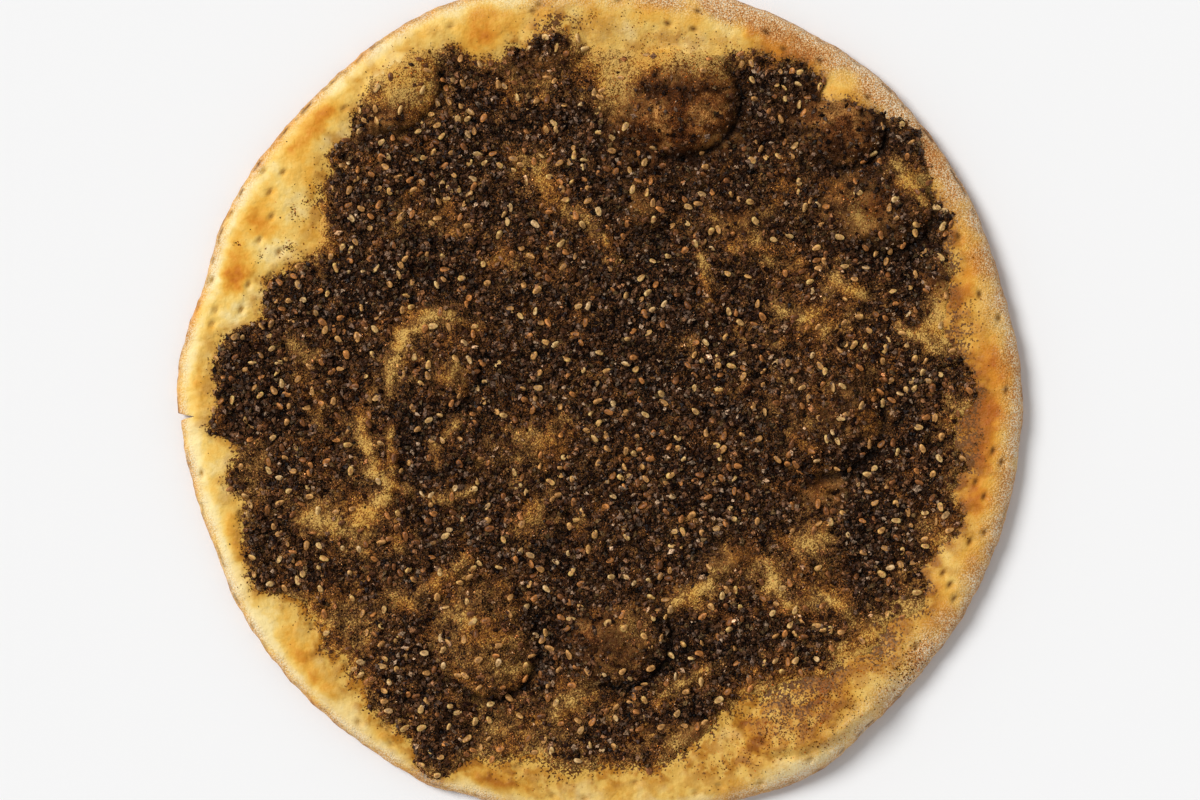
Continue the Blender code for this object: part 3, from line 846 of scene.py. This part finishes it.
def crust_finish():
    """Baked dough: pale where the oil kept it soft, toasted on its humps, floury at its outer edge."""
    tree = Tree("baked_crust")
    wander = tree.add(tree.about(tree.grain(6.0), 0.22), tree.about(tree.grain(1.4), 0.10))
    toast = tree.add(tree.share("toast"), wander)
    baked = tree.tones(
        toast,
        (0.00, 246, 222, 156), (0.25, 240, 200, 106), (0.50, 235, 176, 68), (0.75, 218, 140, 38),
        (1.00, 182, 96, 22),
    )
    oil = tree.tones(
        tree.add(tree.about(tree.grain(2.6), 0.6), toast),
        (0.00, 212, 166, 76), (0.40, 182, 122, 34), (0.90, 132, 74, 14),
    )
    # Oil soaked into the crust, and painted shade on the rim's lower side, both in the oil's colour
    oiled_and_shaded = tree.mix(tree.share("oil_and_shade"), baked, oil)
    dust = tree.add(tree.share("dust"), tree.about(tree.cells(0.52), 0.9))
    dusty = tree.mix(tree.step(dust, 0.52, 0.72), oiled_and_shaded, srgb(92, 54, 14))
    dusted = tree.mix(tree.share("floury"), dusty, flour_colour(tree))
    brink = tree.tones(tree.grain(1.6), (0.15, 150, 92, 44), (0.70, 214, 158, 104))
    edged = tree.mix(tree.share("brink"), dusted, brink)
    # The crack is painted dark brown: painted shade in the gap, and browned crust
    cracked = tree.mix(tree.share("lip"), edged, srgb(112, 72, 34))
    # Painted shade on the pricks' walls
    prick_shade_colour = tree.mix(tree.share("warm"), srgb(194, 150, 74), srgb(116, 76, 34))
    prick_shaded = tree.mix(tree.share("prick"), cracked, prick_shade_colour)
    colour = tree.mix(tree.share("underside"), prick_shaded, underside_colour(tree))
    fine = tree.times(tree.grain(0.35), tree.add(tree.times(tree.share("floury"), 1.3), 0.15))
    normal = tree.bump(tree.add(fine, tree.times(tree.grain(2.6), 0.9)), 0.26, 0.9)
    return tree.set(Base_Color=colour, Roughness=0.50, Normal=normal, Specular_IOR_Level=0.14)


def flour_colour(tree):
    """Fine flour baked onto the crust, browner where the crust is toasted or turned to the right."""
    flour = tree.add(tree.about(tree.grain(0.30), 0.78), tree.about(tree.grain(1.5), 0.14))
    flour = tree.less(flour, tree.times(tree.less(tree.share("toast"), 0.3), 0.60))
    return tree.tones(
        tree.less(tree.add(flour, 0.80), tree.times(tree.share("warm"), 0.28)),
        (0.00, 184, 110, 48), (0.30, 214, 148, 80), (0.60, 236, 187, 124), (1.00, 250, 232, 200),
    )


def underside_colour(tree):
    """Spots where the dough touched the oven's floor."""
    spots = tree.add(tree.noise(9.0, 3.0, 0.6), tree.about(tree.noise(1.4, 2.0, 0.6), 0.16))
    return tree.tones(
        spots,
        (0.30, 226, 190, 128), (0.48, 212, 160, 88), (0.60, 168, 104, 50), (0.72, 110, 62, 30),
    )


def spread_finish():
    """Za'atar between its crumbs: dark paste where it is dense, oily dough and brown dust where thin."""
    tree = Tree("zaatar_spread")
    cover = tree.less(tree.times(tree.share("cover"), 1.0 + FEATHER), FEATHER)
    dust = tree.cells(0.36)
    push = tree.add(tree.about(dust, 0.92), tree.about(tree.grain(2.4), 0.22))
    push = tree.add(push, tree.about(tree.grain(0.9), 0.14))
    dense = tree.add(cover, push)
    darkest = ((0.84, 46, 27, 13), (0.98, 15, 8, 4))
    olive = tree.tones(
        dense,
        (0.00, 218, 174, 94), (0.20, 172, 126, 64), (0.42, 124, 85, 42), (0.66, 88, 56, 28), *darkest,
    )
    amber = tree.tones(
        dense,
        (0.00, 220, 168, 80), (0.20, 180, 120, 50), (0.42, 130, 80, 34), (0.66, 92, 54, 25), *darkest,
    )
    colour = tree.mix(tree.step(tree.noise(6.0), 0.44, 0.62), olive, amber)
    skin = tree.tones(
        tree.add(tree.about(tree.grain(4.2), 0.56), tree.add(tree.about(dust, 0.62), 0.50)),
        (0.05, 34, 15, 5), (0.35, 84, 45, 19), (0.65, 128, 77, 35), (0.95, 182, 130, 70),
    )
    burnt = tree.mix(tree.share("burnt"), colour, skin)
    # Painted shade, nearly black, in the creases round the bubbles' feet
    crease_shaded = tree.mix(tree.share("crease_shade"), burnt, srgb(14, 9, 6))
    # Painted shade in the gaps between clumps and painted light on their tops
    gap_shade = tree.ramp(tree.share("clump_shade"), (0.25, (0.10, 0.09, 0.08, 1.0)), (0.75, (1.30, 1.30, 1.30, 1.0)))
    clump_shaded = tree.mix(1.0, crease_shaded, gap_shade, "MULTIPLY")
    rise = tree.less(tree.grain(1.0), tree.times(tree.cells(0.45, "Distance"), 0.9))
    normal = tree.bump(rise, 0.30, 0.9)
    return tree.set(Base_Color=clump_shaded, Roughness=0.42, Normal=normal, Specular_IOR_Level=0.05)


def crumb_finish(name, roughness, gloss):
    """Crushed herbs in oil, each crumb with a colour of its own."""
    tree = Tree(name)
    colour = tree.scaled(tree.grain(0.34), tree.colour("own_colour"), (0.36, 0.33, 0.31), (1.74, 1.70, 1.66))
    normal = tree.bump(tree.grain(0.35), 0.10, 0.6)
    return tree.set(Base_Color=colour, Roughness=roughness, Normal=normal, Specular_IOR_Level=gloss)


def seed_finish():
    """Hulled sesame soaked in oil."""
    tree = Tree("sesame")
    colour = tree.scaled(tree.grain(0.6), tree.colour("own_colour"), (0.62, 0.56, 0.50), (1.20, 1.20, 1.20))
    normal = tree.bump(tree.grain(0.5), 0.10, 0.6)
    return tree.set(Base_Color=colour, Roughness=0.38, Normal=normal, Specular_IOR_Level=0.25)


def prick_depth(x, y):
    """0 on the plain crust and 1 in the middle of a prick. A prick is longer along the rim than across it."""
    depth = np.zeros_like(x)
    for first, last, distance, count in PRICKS:
        for angle in np.linspace(first, last, count):
            along, across = turned(x, y, *at(angle, distance), angle + 90.0)
            depth = np.maximum(depth, np.exp(-((along / PRICK_LENGTH) ** 2) - (across / PRICK_WIDTH) ** 2))
    return depth


def lip_share(angle, inset):
    """The dashed crack along the outer edge."""
    x, y = at(angle, BREAD_RADIUS)
    line = np.exp(-(((inset - LIP_INSET - 0.35 * rough(x, y, 9.0, 55)) / LIP_WIDTH) ** 2))
    dashes = smoothstep(-0.15, 0.30, rough(x, y, 4.5, 56) + 0.25 * rough(x, y, 1.8, 57))
    return np.clip(line * dashes * bell_sum(LIPS, angle), 0.0, 1.0)


def bread_rings():
    """Rings from the middle of the top outwards, down and back in, and how many points are on top."""
    rings = [middle(dough_height)]
    distance = HIDDEN_SPACING
    while distance < RIM_STARTS - 1.0:
        angle = even(int(2.0 * math.pi * distance / HIDDEN_SPACING) + 3)
        rings.append(ring(angle, distance, dough_height))
        distance += HIDDEN_SPACING
    angle = even(RIM_COUNT)
    outline = fine_outline(angle)
    for step in range(RIM_RINGS):
        share = step / RIM_RINGS
        rings.append(ring(angle, RIM_STARTS + (outline - EDGE_ROUND - RIM_STARTS) * share, dough_height))
    for step in range(ROUND_RINGS + 1):
        inset = EDGE_ROUND * (1.0 - math.sin(0.5 * math.pi * step / ROUND_RINGS))
        x, y = at(angle, outline - inset)
        rings.append(np.column_stack([x, y, dough_height(*on_plain_outline(x, y, inset))]))
    top_count = sum(len(one) for one in rings)
    widest = rings[-1][:, 2]
    for step in range(1, FOOT_RINGS + 1):
        turn = 0.5 * math.pi * step / FOOT_RINGS
        x, y = at(angle, outline - FOOT_INSET * (1.0 - math.cos(turn)))
        rings.append(np.column_stack([x, y, widest * (1.0 - math.sin(turn))]))
    distance = BREAD_RADIUS - FOOT_INSET - UNDER_SPACING
    while distance > UNDER_SPACING:
        angle = even(int(2.0 * math.pi * distance / UNDER_SPACING) + 3)
        scale = distance / (BREAD_RADIUS - FOOT_INSET)
        rings.append(ring(angle, (bread_radius(angle) - FOOT_INSET) * scale, flat))
        distance -= UNDER_SPACING
    return rings, top_count


def build_bread(finish):
    rings, top_count = bread_rings()
    points, faces = rings_mesh(rings, middle(flat))
    x = points[:, 0]
    y = points[:, 1]
    angle, reach = polar(x, y)
    top = np.arange(len(points)) < top_count
    prick = np.where(top, prick_depth(x, y), 0.0)
    lip = np.where(top, lip_share(angle, fine_outline(angle) - reach), 0.0)
    rounded = np.clip((fine_outline(angle) - reach) / EDGE_ROUND, 0.0, 1.0)
    relief = layered(x, y, CRUST_RELIEF) * rounded
    sink = HIDDEN_SINK * smoothstep(0.5, 3.0, edge_radius(angle) - reach)
    points[:, 2] += np.where(top, relief - sink, 0.0) - PRICK_DEPTH * prick - LIP_DEPTH * lip
    pinch_split(points, angle, reach)
    bread = new_piece("bread_crust", points, faces, finish)
    shade_bread(bread, points, angle, reach, top)
    # Painted shade in each prick, moved towards the light onto the wall that lies in shade
    shaded = np.where(top, prick_depth(x + PRICK_SHADE, y - PRICK_SHADE), 0.0)
    set_share(bread, "prick", shaded ** PRICK_FALLOFF)
    set_share(bread, "lip", lip)
    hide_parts("bread")


def fine_outline(angle):
    """The bread's outline with its small unevenness."""
    return roughened(bread_radius(angle) - OUTLINE_INSET, angle, BREAD_RADIUS, OUTLINE_NOISE)


def on_plain_outline(x, y, inset):
    """The same places moved to lie inset from the plain outline, where the height formula holds."""
    angle, _ = polar(x, y)
    return at(angle, bread_radius(angle) - inset)


def pinch_split(points, angle, reach):
    """Opens the short split by drawing the rim's points at its line towards the middle."""
    away = np.radians((angle - SPLIT_ANGLE + 180.0) % 360.0 - 180.0) * reach
    half = 0.5 * SPLIT_WIDTH
    depth = SPLIT_DEPTH * np.clip(1.0 - np.abs(away) / half, 0.0, 1.0)
    limit = bread_radius(angle) - depth
    over = (reach > limit) & (np.abs(away) < half)
    scale = np.where(over, limit / np.maximum(reach, 1e-6), 1.0)
    points[:, 0] *= scale
    points[:, 1] *= scale


def shade_bread(bread, points, angle, reach, top):
    """Where the crust is toasted, floury, oily or dusted, and where its lower side has painted shade, as
    numbers for its material.
    """
    x = points[:, 0]
    y = points[:, 1]
    push_x, push_y = pushes(x, y, CRUST_WARP)
    inset = bread_radius(angle) - reach
    past = reach - edge_radius(angle)
    right = facing(angle, 20.0, -0.25, 0.75)
    top_side = facing(angle, 64.0, 0.72, 0.97)
    # The rim's lower side, which gets painted shade
    shaded_bottom = facing(angle, 280.0, 0.2, 0.9)
    toast = 0.25 + 0.22 * rough(x, y, 12.0, 65) + 0.12 * right
    spots = patch_sum(TOASTED, x + push_x, y + push_y)
    toast = toast + 0.24 * spots + 0.26 * smoothstep(0.15, 0.75, spots)
    paler = 0.28 * smoothstep(7.0, 3.5, inset) - 0.46 * smoothstep(3.2, 1.0, inset)
    toast = toast - (1.0 - right) * paler
    floury = right * (0.10 + 0.72 * smoothstep(10.0, 3.5, inset)) + 0.72 * smoothstep(4.6, 1.6, inset)
    floury = floury + 0.7 * top_side * smoothstep(11.0, 4.5, inset)
    floury = floury + patch_sum(FLOURED, x + push_x, y + push_y)
    floury = floury * np.clip(0.76 + 0.6 * rough(x, y, 8.0, 66), 0.0, 1.0)
    brink = smoothstep(1.4, 0.2, inset) * np.clip(0.65 + 0.6 * rough(x, y, 5.0, 67), 0.0, 1.0)
    oiled = patch_sum(OILED, x + push_x, y + push_y)
    beside = smoothstep(0.0, 0.6, cover_at(x, y))
    oil_and_shade = 0.85 * smoothstep(8.0, -1.0, past + 3.0 * rough(x, y, 5.0, 68)) * (0.4 + 0.6 * beside)
    # Painted shade: the rim's lower side is darkened with the oil's colour
    oil_and_shade = oil_and_shade + 0.8 * oiled + 0.44 * shaded_bottom
    strewn = np.exp(-np.clip(past + 1.5 * rough(x, y, 4.0, 69), 0.0, None) / 3.0)
    dust = 0.66 * strewn * beside + 0.48 * oiled
    set_share(bread, "toast", np.where(top, toast, 0.5))
    set_share(bread, "floury", np.where(top, floury, 0.4))
    set_share(bread, "warm", right * (1.0 - 0.6 * smoothstep(5.0, 1.5, inset)))
    set_share(bread, "brink", np.where(top, brink, 1.0))
    set_share(bread, "oil_and_shade", np.where(top, oil_and_shade, 0.0))
    set_share(bread, "dust", np.where(top, dust, 0.0))
    set_share(bread, "underside", np.where(top, 0.0, smoothstep(0.8, 4.0, inset)))


def facing(angle, direction, low, high):
    """1 on the side of the bread that lies in a direction and 0 away from it."""
    return smoothstep(low, high, np.cos(np.radians(angle - direction)))


def under_height(x, y):
    """The spread's lower face, out of sight in the bread."""
    return dough_height(x, y) - UNDER_SPREAD_DEPTH


def spread_rings():
    """Rings from the middle of the top outwards, down into the bread and back in."""
    rings = [middle(flat)]
    count = int(TOPPING_RADIUS / SPREAD_SPACING)
    for number in range(1, count + 1):
        share = number / count
        angle = even(int(2.0 * math.pi * TOPPING_RADIUS * share / SPREAD_ALONG) + 3)
        rings.append(ring(angle, edge_radius(angle) * share, flat))
    points = np.vstack(rings)
    heights = spread_height(points[:, 0], points[:, 1])
    start = 0
    for one in rings:
        one[:, 2] = heights[start:start + len(one)]
        start += len(one)
    x, y, _ = rings[-1].T
    rings.append(np.column_stack([x, y, dough_height(x, y) - SPREAD_LIP]))
    angle = even(UNDER_SPREAD_COUNT)
    for number in range(UNDER_SPREAD_RINGS - 1, 0, -1):
        share = UNDER_SPREAD_REACH * number / (UNDER_SPREAD_RINGS - 1)
        rings.append(ring(angle, edge_radius(angle) * share, under_height))
    return rings


def build_spread(finish):
    points, faces = rings_mesh(spread_rings(), middle(under_height))
    spread = new_piece("zaatar_spread", points, faces, finish)
    x = points[:, 0]
    y = points[:, 1]
    angle, distance = polar(x, y)
    cover = cover_at(x, y)
    feather = FEATHER * np.exp(-np.clip(edge_radius(angle) - distance, 0.0, None) / FEATHER_WIDTH)
    set_share(spread, "cover", (cover - feather + FEATHER) / (1.0 + FEATHER))
    set_share(spread, "burnt", burnt_at(x, y))
    # Painted shade in the bubbles' creases
    set_share(spread, "crease_shade", 0.9 * crease_and_shade_at(x, y))
    # Painted light on the clumps' tops and painted shade in the gaps between them
    set_share(spread, "clump_shade", 0.6 + 0.5 * clump_shade_at(x, y) * smoothstep(0.3, 0.8, cover))
    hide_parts("zaatar_topping")


def lying(draw, x, y, tilt):
    """Turns that lay things on the surface, each facing its own way and leaning a little."""
    slope_x = (surface_height(x + SLOPE_STEP, y) - surface_height(x - SLOPE_STEP, y)) / (2 * SLOPE_STEP)
    slope_y = (surface_height(x, y + SLOPE_STEP) - surface_height(x, y - SLOPE_STEP)) / (2 * SLOPE_STEP)
    up = np.column_stack([-slope_x, -slope_y, np.ones_like(x)]) + tilt * draw.normal(size=(len(x), 3))
    up[:, 2] = np.maximum(up[:, 2], LEAST_UP)
    up /= np.linalg.norm(up, axis=1, keepdims=True)
    heading = draw.random(len(x)) * 2.0 * math.pi
    ahead = np.column_stack([np.cos(heading), np.sin(heading), np.zeros_like(x)])
    ahead -= up * np.sum(up * ahead, axis=1, keepdims=True)
    ahead /= np.linalg.norm(ahead, axis=1, keepdims=True)
    side = np.cross(up, ahead)
    return np.stack([ahead, side, up], axis=2), up


def copies(shape, sizes, turns, places, jitter, draw):
    """Points and faces of many copies of one small shape, each stretched, made uneven, turned and placed."""
    shape_points, shape_faces = shape
    corners = shape_points[None, :, :] * sizes[:, None, :]
    corners = corners * (1.0 + jitter * draw.uniform(-1.0, 1.0, size=corners.shape))
    corners = np.einsum("nij,nkj->nki", turns, corners) + places[:, None, :]
    faces = shape_faces[None, :, :] + (np.arange(len(places)) * len(shape_points))[:, None, None]
    return corners.reshape(-1, 3), faces.reshape(-1, 3)


def chip_shape():
    """An eight-sided chip."""
    points = np.array([[1, 0, 0], [0, 1, 0], [-1, 0, 0], [0, -1, 0], [0, 0, 1], [0, 0, -1]], float)
    faces = np.array([[0, 1, 4], [1, 2, 4], [2, 3, 4], [3, 0, 4], [1, 0, 5], [2, 1, 5], [3, 2, 5], [0, 3, 5]])
    return points, faces


def fleck_shape():
    """A four-sided flake."""
    points = np.array([[1.0, 0.0, -0.4], [-0.6, 0.9, -0.4], [-0.6, -0.9, -0.4], [0.0, 0.0, 1.0]])
    faces = np.array([[0, 1, 3], [1, 2, 3], [2, 0, 3], [0, 2, 1]])
    return points, faces


def seed_shape():
    """A sesame seed of length, width and thickness 2: a flat drop, a little narrower at one end."""
    rings = [np.array([[-1.0, 0.0, 0.0]])]
    angle = np.arange(SEED_SIDES) * 2.0 * math.pi / SEED_SIDES
    for step in range(1, SEED_BANDS):
        turn = math.pi * step / SEED_BANDS
        place = -math.cos(turn)
        width = math.sin(turn) ** 0.85 * (1.0 - 0.22 * place) * 0.96
        along = np.full_like(angle, place)
        rings.append(np.column_stack([along, width * np.cos(angle), width * np.sin(angle)]))
    points = np.vstack([*rings, [[1.0, 0.0, 0.0]]])
    sides = [(k, (k + 1) % SEED_SIDES) for k in range(SEED_SIDES)]
    faces = [(0, 1 + after, 1 + k) for k, after in sides]
    for near in range(1, 1 + SEED_SIDES * (SEED_BANDS - 2), SEED_SIDES):
        far = near + SEED_SIDES
        for k, after in sides:
            faces.append((near + k, far + after, far + k))
            faces.append((near + k, near + after, far + after))
    faces += [(len(points) - 1, far + k, far + after) for k, after in sides]
    return points, np.array(faces)


def random_places(draw, count, weight, reach):
    """Places over the topping, thinned by weight, which takes x and y and gives 0 to 1."""
    xs = []
    ys = []
    found = 0
    while found < count:
        angle = draw.random(4 * count) * 360.0
        distance = np.sqrt(draw.random(4 * count)) * reach
        x, y = at(angle, distance)
        keep = draw.random(4 * count) < weight(x, y)
        xs.append(x[keep])
        ys.append(y[keep])
        found += int(keep.sum())
    return np.concatenate(xs)[:count], np.concatenate(ys)[:count]


def spread_apart(x, y, gap, count):
    """The first count places that keep gap from each other."""
    kept = []
    cells = {}
    for px, py in zip(x.tolist(), y.tolist()):
        column = int(px // gap)
        row = int(py // gap)
        close = False
        for i in (-1, 0, 1):
            for j in (-1, 0, 1):
                for qx, qy in cells.get((column + i, row + j), ()):
                    if (px - qx) ** 2 + (py - qy) ** 2 < gap * gap:
                        close = True
        if close:
            continue
        cells.setdefault((column, row), []).append((px, py))
        kept.append((px, py))
        if len(kept) == count:
            break
    return np.array(kept).T


def colours_of(draw, count, spread, choices):
    """One colour for each of count things, picked from choices. spread varies their brightness."""
    shares = np.array([share for share, *_ in choices])
    table = np.array([srgb(*tone)[:3] for _, *tone in choices])
    picked = table[draw.choice(len(choices), size=count, p=shares / shares.sum())]
    return picked * np.exp(spread * draw.normal(size=(count, 1)))


def within_topping(x, y, margin):
    """1 inside the topping's edge, fading to 0 at margin past it."""
    angle, distance = polar(x, y)
    return smoothstep(-margin, 0.4 * margin, edge_radius(angle) - distance)


def build_crumbs(name, count, seed, finish, shape, sizes, lift, weight, tint, colours):
    """Many crumbs. sizes are the least and greatest half length, and tint is how much brightness varies."""
    draw = np.random.default_rng(seed)
    x, y = random_places(draw, count, weight, BREAD_RADIUS)
    half = draw.uniform(*sizes, size=(count, 1)) * np.array(CRUMB_STRETCH)
    half = half * draw.uniform(*CRUMB_VARIETY, size=(count, 3))
    turns, up = lying(draw, x, y, CRUMB_TILT)
    places = np.column_stack([x, y, surface_height(x, y)]) + up * half[:, 2:] * lift
    points, faces = copies(shape, half, turns, places, CRUMB_JITTER, draw)
    piece = new_piece(name, points, faces, finish, smooth=False)
    # Crumbs in the gaps between clumps are darker and those on top lighter: painted shade and painted light
    shade = np.clip(1.02 + CLUMP_SHADE_CONTRAST * clump_shade_at(x, y), 0.05, 2.3)
    # Crumbs in the bubbles' creases are darker: painted shade
    shade = shade * (1.0 - CREASE_SHADE * crease_and_shade_at(x, y)) * (1.0 + 0.24 * rough(x, y, 9.0, 83))
    thin = smoothstep(0.95, 0.55, cover_at(x, y))[:, None]
    own = colours_of(draw, count, tint, colours) * shade[:, None] * (1.0 + thin * np.array(THIN_TINT))
    set_colour(piece, "own_colour", np.repeat(own, len(shape[0]), axis=0))


def surface_height(x, y):
    """The spread's face inside its edge, and the crust's outside."""
    angle, distance = polar(x, y)
    return np.where(distance < edge_radius(angle), spread_height(x, y), dough_height(x, y))


def dense_weight(x, y):
    """Coarse crumbs lie where the cover is thick, in clumps."""
    clumps = 0.70 + 0.55 * rough(x, y, 3.5, 81)
    thick = smoothstep(0.50, 0.95, cover_at(x, y)) * (1.0 - 0.93 * burnt_at(x, y))
    return within_topping(x, y, CRUMB_MARGIN) * (0.02 + 0.98 * thick) * clumps


def grain_weight(x, y):
    """Fine dark grains lie where the cover is fair, and a few on the burnt bubbles."""
    thick = smoothstep(0.40, 0.95, cover_at(x, y)) * (1.0 - 0.85 * burnt_at(x, y))
    return within_topping(x, y, CRUMB_MARGIN) * (0.02 + 0.98 * thick)


def dust_weight(x, y):
    """Brown dust reaches the bare places too."""
    cover = cover_at(x, y)
    thick = 0.25 + 0.75 * smoothstep(0.1, 0.6, cover) - 0.82 * smoothstep(0.70, 0.96, cover)
    thick = thick * (1.0 - 0.75 * burnt_at(x, y))
    return within_topping(x, y, DUST_MARGIN) * thick


def speck_weight(x, y):
    """Crumbs strewn past the topping's edge, thickest near it and where oil soaked in."""
    angle, distance = polar(x, y)
    past = distance - edge_radius(angle)
    outside = past > SPECKS_START
    near = 0.25 * np.exp(-np.clip(past, 0.0, None)) * outside * smoothstep(0.2, 0.8, cover_at(x, y))
    uneven = np.clip(0.6 + 1.2 * rough(x, y, 2.2, 82), 0.0, 1.8)
    oiled = 0.06 * patch_sum(OILED, x, y) * uneven * outside
    strewn = 0.5 * patch_sum(STRAYS, x, y)
    stray = 0.0015 * (distance < BREAD_RADIUS - 3.0)
    return np.clip(near + oiled + strewn + stray, 0.0, 1.0) * (distance < BREAD_RADIUS - 1.5)


def seed_weight(x, y):
    """Seeds lie in loose clusters, and none on burnt skin."""
    clumps = 0.34 + 0.35 * rough(x, y, 8.0, 92) + 0.62 * patch_sum(SEEDY, x, y)
    thick = 0.30 + 0.70 * smoothstep(0.2, 0.7, cover_at(x, y))
    bare = (1.0 - burnt_at(x, y)) ** 2
    return within_topping(x, y, SEED_MARGIN) * thick * np.clip(clumps, 0.0, 1.0) * bare


def build_seeds(finish):
    """Sesame seeds that keep apart from each other, each sunk a little into the spread."""
    draw = np.random.default_rng(SEEDS_DRAW)
    x, y = random_places(draw, 4 * SEED_COUNT, seed_weight, SEED_REACH)
    x, y = spread_apart(x, y, SEED_APART, SEED_COUNT)
    count = len(x)
    shape = seed_shape()
    half = np.array(SEED_HALF) * draw.uniform(*SEED_SIZES, size=(count, 1))
    half = half * draw.uniform(*SEED_VARIETY, size=(count, 3))
    turns, up = lying(draw, x, y, SEED_TILT)
    sunk = draw.uniform(*SEED_SUNK, size=(count, 1))
    places = np.column_stack([x, y, surface_height(x, y)]) + up * (half[:, 2:] * sunk + SEED_LIFT)
    points, faces = copies(shape, half, turns, places, SEED_JITTER, draw)
    seeds = new_piece("sesame_seeds", points, faces, finish)
    own = colours_of(draw, count, SEED_TINT, HULLED)
    # Painted highlight: each seed is painted lighter towards its rim and darker along its middle
    margin = np.hypot(shape[0][:, 0], shape[0][:, 1])[None, :, None]
    shade = 0.50 + 0.80 * smoothstep(0.35, 0.95, margin)
    set_colour(seeds, "own_colour", np.minimum(own[:, None, :] * shade, PALEST_SEED).reshape(-1, 3))


# Floor: half its side in metres, and how light it is
FLOOR_HALF = 6.0
FLOOR_TONE = 0.91


def build_floor():
    tree = Tree("floor")
    finish = tree.set(Base_Color=(FLOOR_TONE, FLOOR_TONE, FLOOR_TONE, 1.0), Roughness=0.9)
    corners = [(x * FLOOR_HALF, y * FLOOR_HALF, 0.0) for x, y in ((-1, -1), (1, -1), (1, 1), (-1, 1))]
    data = bpy.data.meshes.new("floor")
    data.from_pydata(corners, [], [(0, 1, 2, 3)])
    data.materials.append(finish)
    floor = bpy.data.objects.new("floor", data)
    bpy.context.scene.collection.objects.link(floor)


# Camera, straight above. Its height is in metres, and so is the plane's where a pixel shows as much
# as in the photograph
MM_FOR_A_PIXEL = 0.308
FRAME_PIXELS = 1200
MIDDLE_PIXEL = 602.5
CAMERA_HEIGHT = 1.25
CAMERA_PLANE = 0.004
SENSOR = 36.0


def build_camera():
    data = bpy.data.cameras.new("camera")
    data.sensor_width = SENSOR
    data.lens = SENSOR * (CAMERA_HEIGHT - CAMERA_PLANE) / (FRAME_PIXELS * MM_FOR_A_PIXEL * MM)
    camera = bpy.data.objects.new("camera", data)
    left = (MIDDLE_PIXEL - FRAME_PIXELS / 2.0) * MM_FOR_A_PIXEL
    camera.location = ((SHIFT[0] - left) * MM, SHIFT[1] * MM, CAMERA_HEIGHT)
    bpy.context.scene.collection.objects.link(camera)
    bpy.context.scene.camera = camera


# Light of the sky at the horizon and overhead, and the sun, which shines from the upper left
HORIZON_LIGHT = 0.75
OVERHEAD_LIGHT = 0.25
SUN_ENERGY = 2.52
SUN_SPREAD = 26.0
SUN_TOWARDS = (0.68, -0.42, -0.90)


def build_light():
    """Soft light from the upper left, as one wide sun, and a sky that is brighter towards the horizon."""
    scene = bpy.context.scene
    world = bpy.data.worlds.new("world")
    scene.world = world
    world.use_nodes = True
    nodes = world.node_tree.nodes
    links = world.node_tree.links
    direction = nodes.new("ShaderNodeSeparateXYZ")
    links.new(nodes.new("ShaderNodeTexCoord").outputs["Generated"], direction.inputs["Vector"])
    level = nodes.new("ShaderNodeMapRange")
    level.inputs["To Min"].default_value = HORIZON_LIGHT
    level.inputs["To Max"].default_value = OVERHEAD_LIGHT
    links.new(direction.outputs["Z"], level.inputs["Value"])
    links.new(level.outputs["Result"], nodes["Background"].inputs["Strength"])
    nodes["Background"].inputs["Color"].default_value = (1.0, 1.0, 1.0, 1.0)
    data = bpy.data.lights.new("key", "SUN")
    data.energy = SUN_ENERGY
    data.angle = math.radians(SUN_SPREAD)
    key = bpy.data.objects.new("key", data)
    key.rotation_euler = Vector(SUN_TOWARDS).to_track_quat("-Z", "Y").to_euler()
    scene.collection.objects.link(key)
    scene.view_settings.view_transform = "Standard"


def build_all_crumbs():
    """Each row: name, count, seed, material, shape, sizes, lift, where they lie, tint, colours."""
    coarse = crumb_finish("zaatar_crumb", 0.36, 0.10)
    fine = crumb_finish("zaatar_grain", 0.42, 0.04)
    dusty = crumb_finish("zaatar_speck", 0.60, 0.0)
    chip = chip_shape()
    fleck = fleck_shape()
    for row in (
        ("zaatar_crumbs", CRUMB_COUNT, 101, coarse, chip, (0.52, 1.22), 0.35, dense_weight, 0.26, DARK),
        ("zaatar_grains", GRAIN_COUNT, 102, fine, fleck, (0.26, 0.56), 0.30, grain_weight, 0.34, DARK),
        ("zaatar_dust", DUST_COUNT, 104, fine, fleck, (0.15, 0.38), 0.30, dust_weight, 0.34, BROWN),
        ("loose_specks", SPECK_COUNT, 103, dusty, fleck, (0.13, 0.36), 0.25, speck_weight, 0.30, RUDDY),
    ):
        build_crumbs(*row)


def main():
    build_camera()
    build_light()
    build_floor()
    build_bread(crust_finish())
    build_spread(spread_finish())
    build_all_crumbs()
    build_seeds(seed_finish())


main()
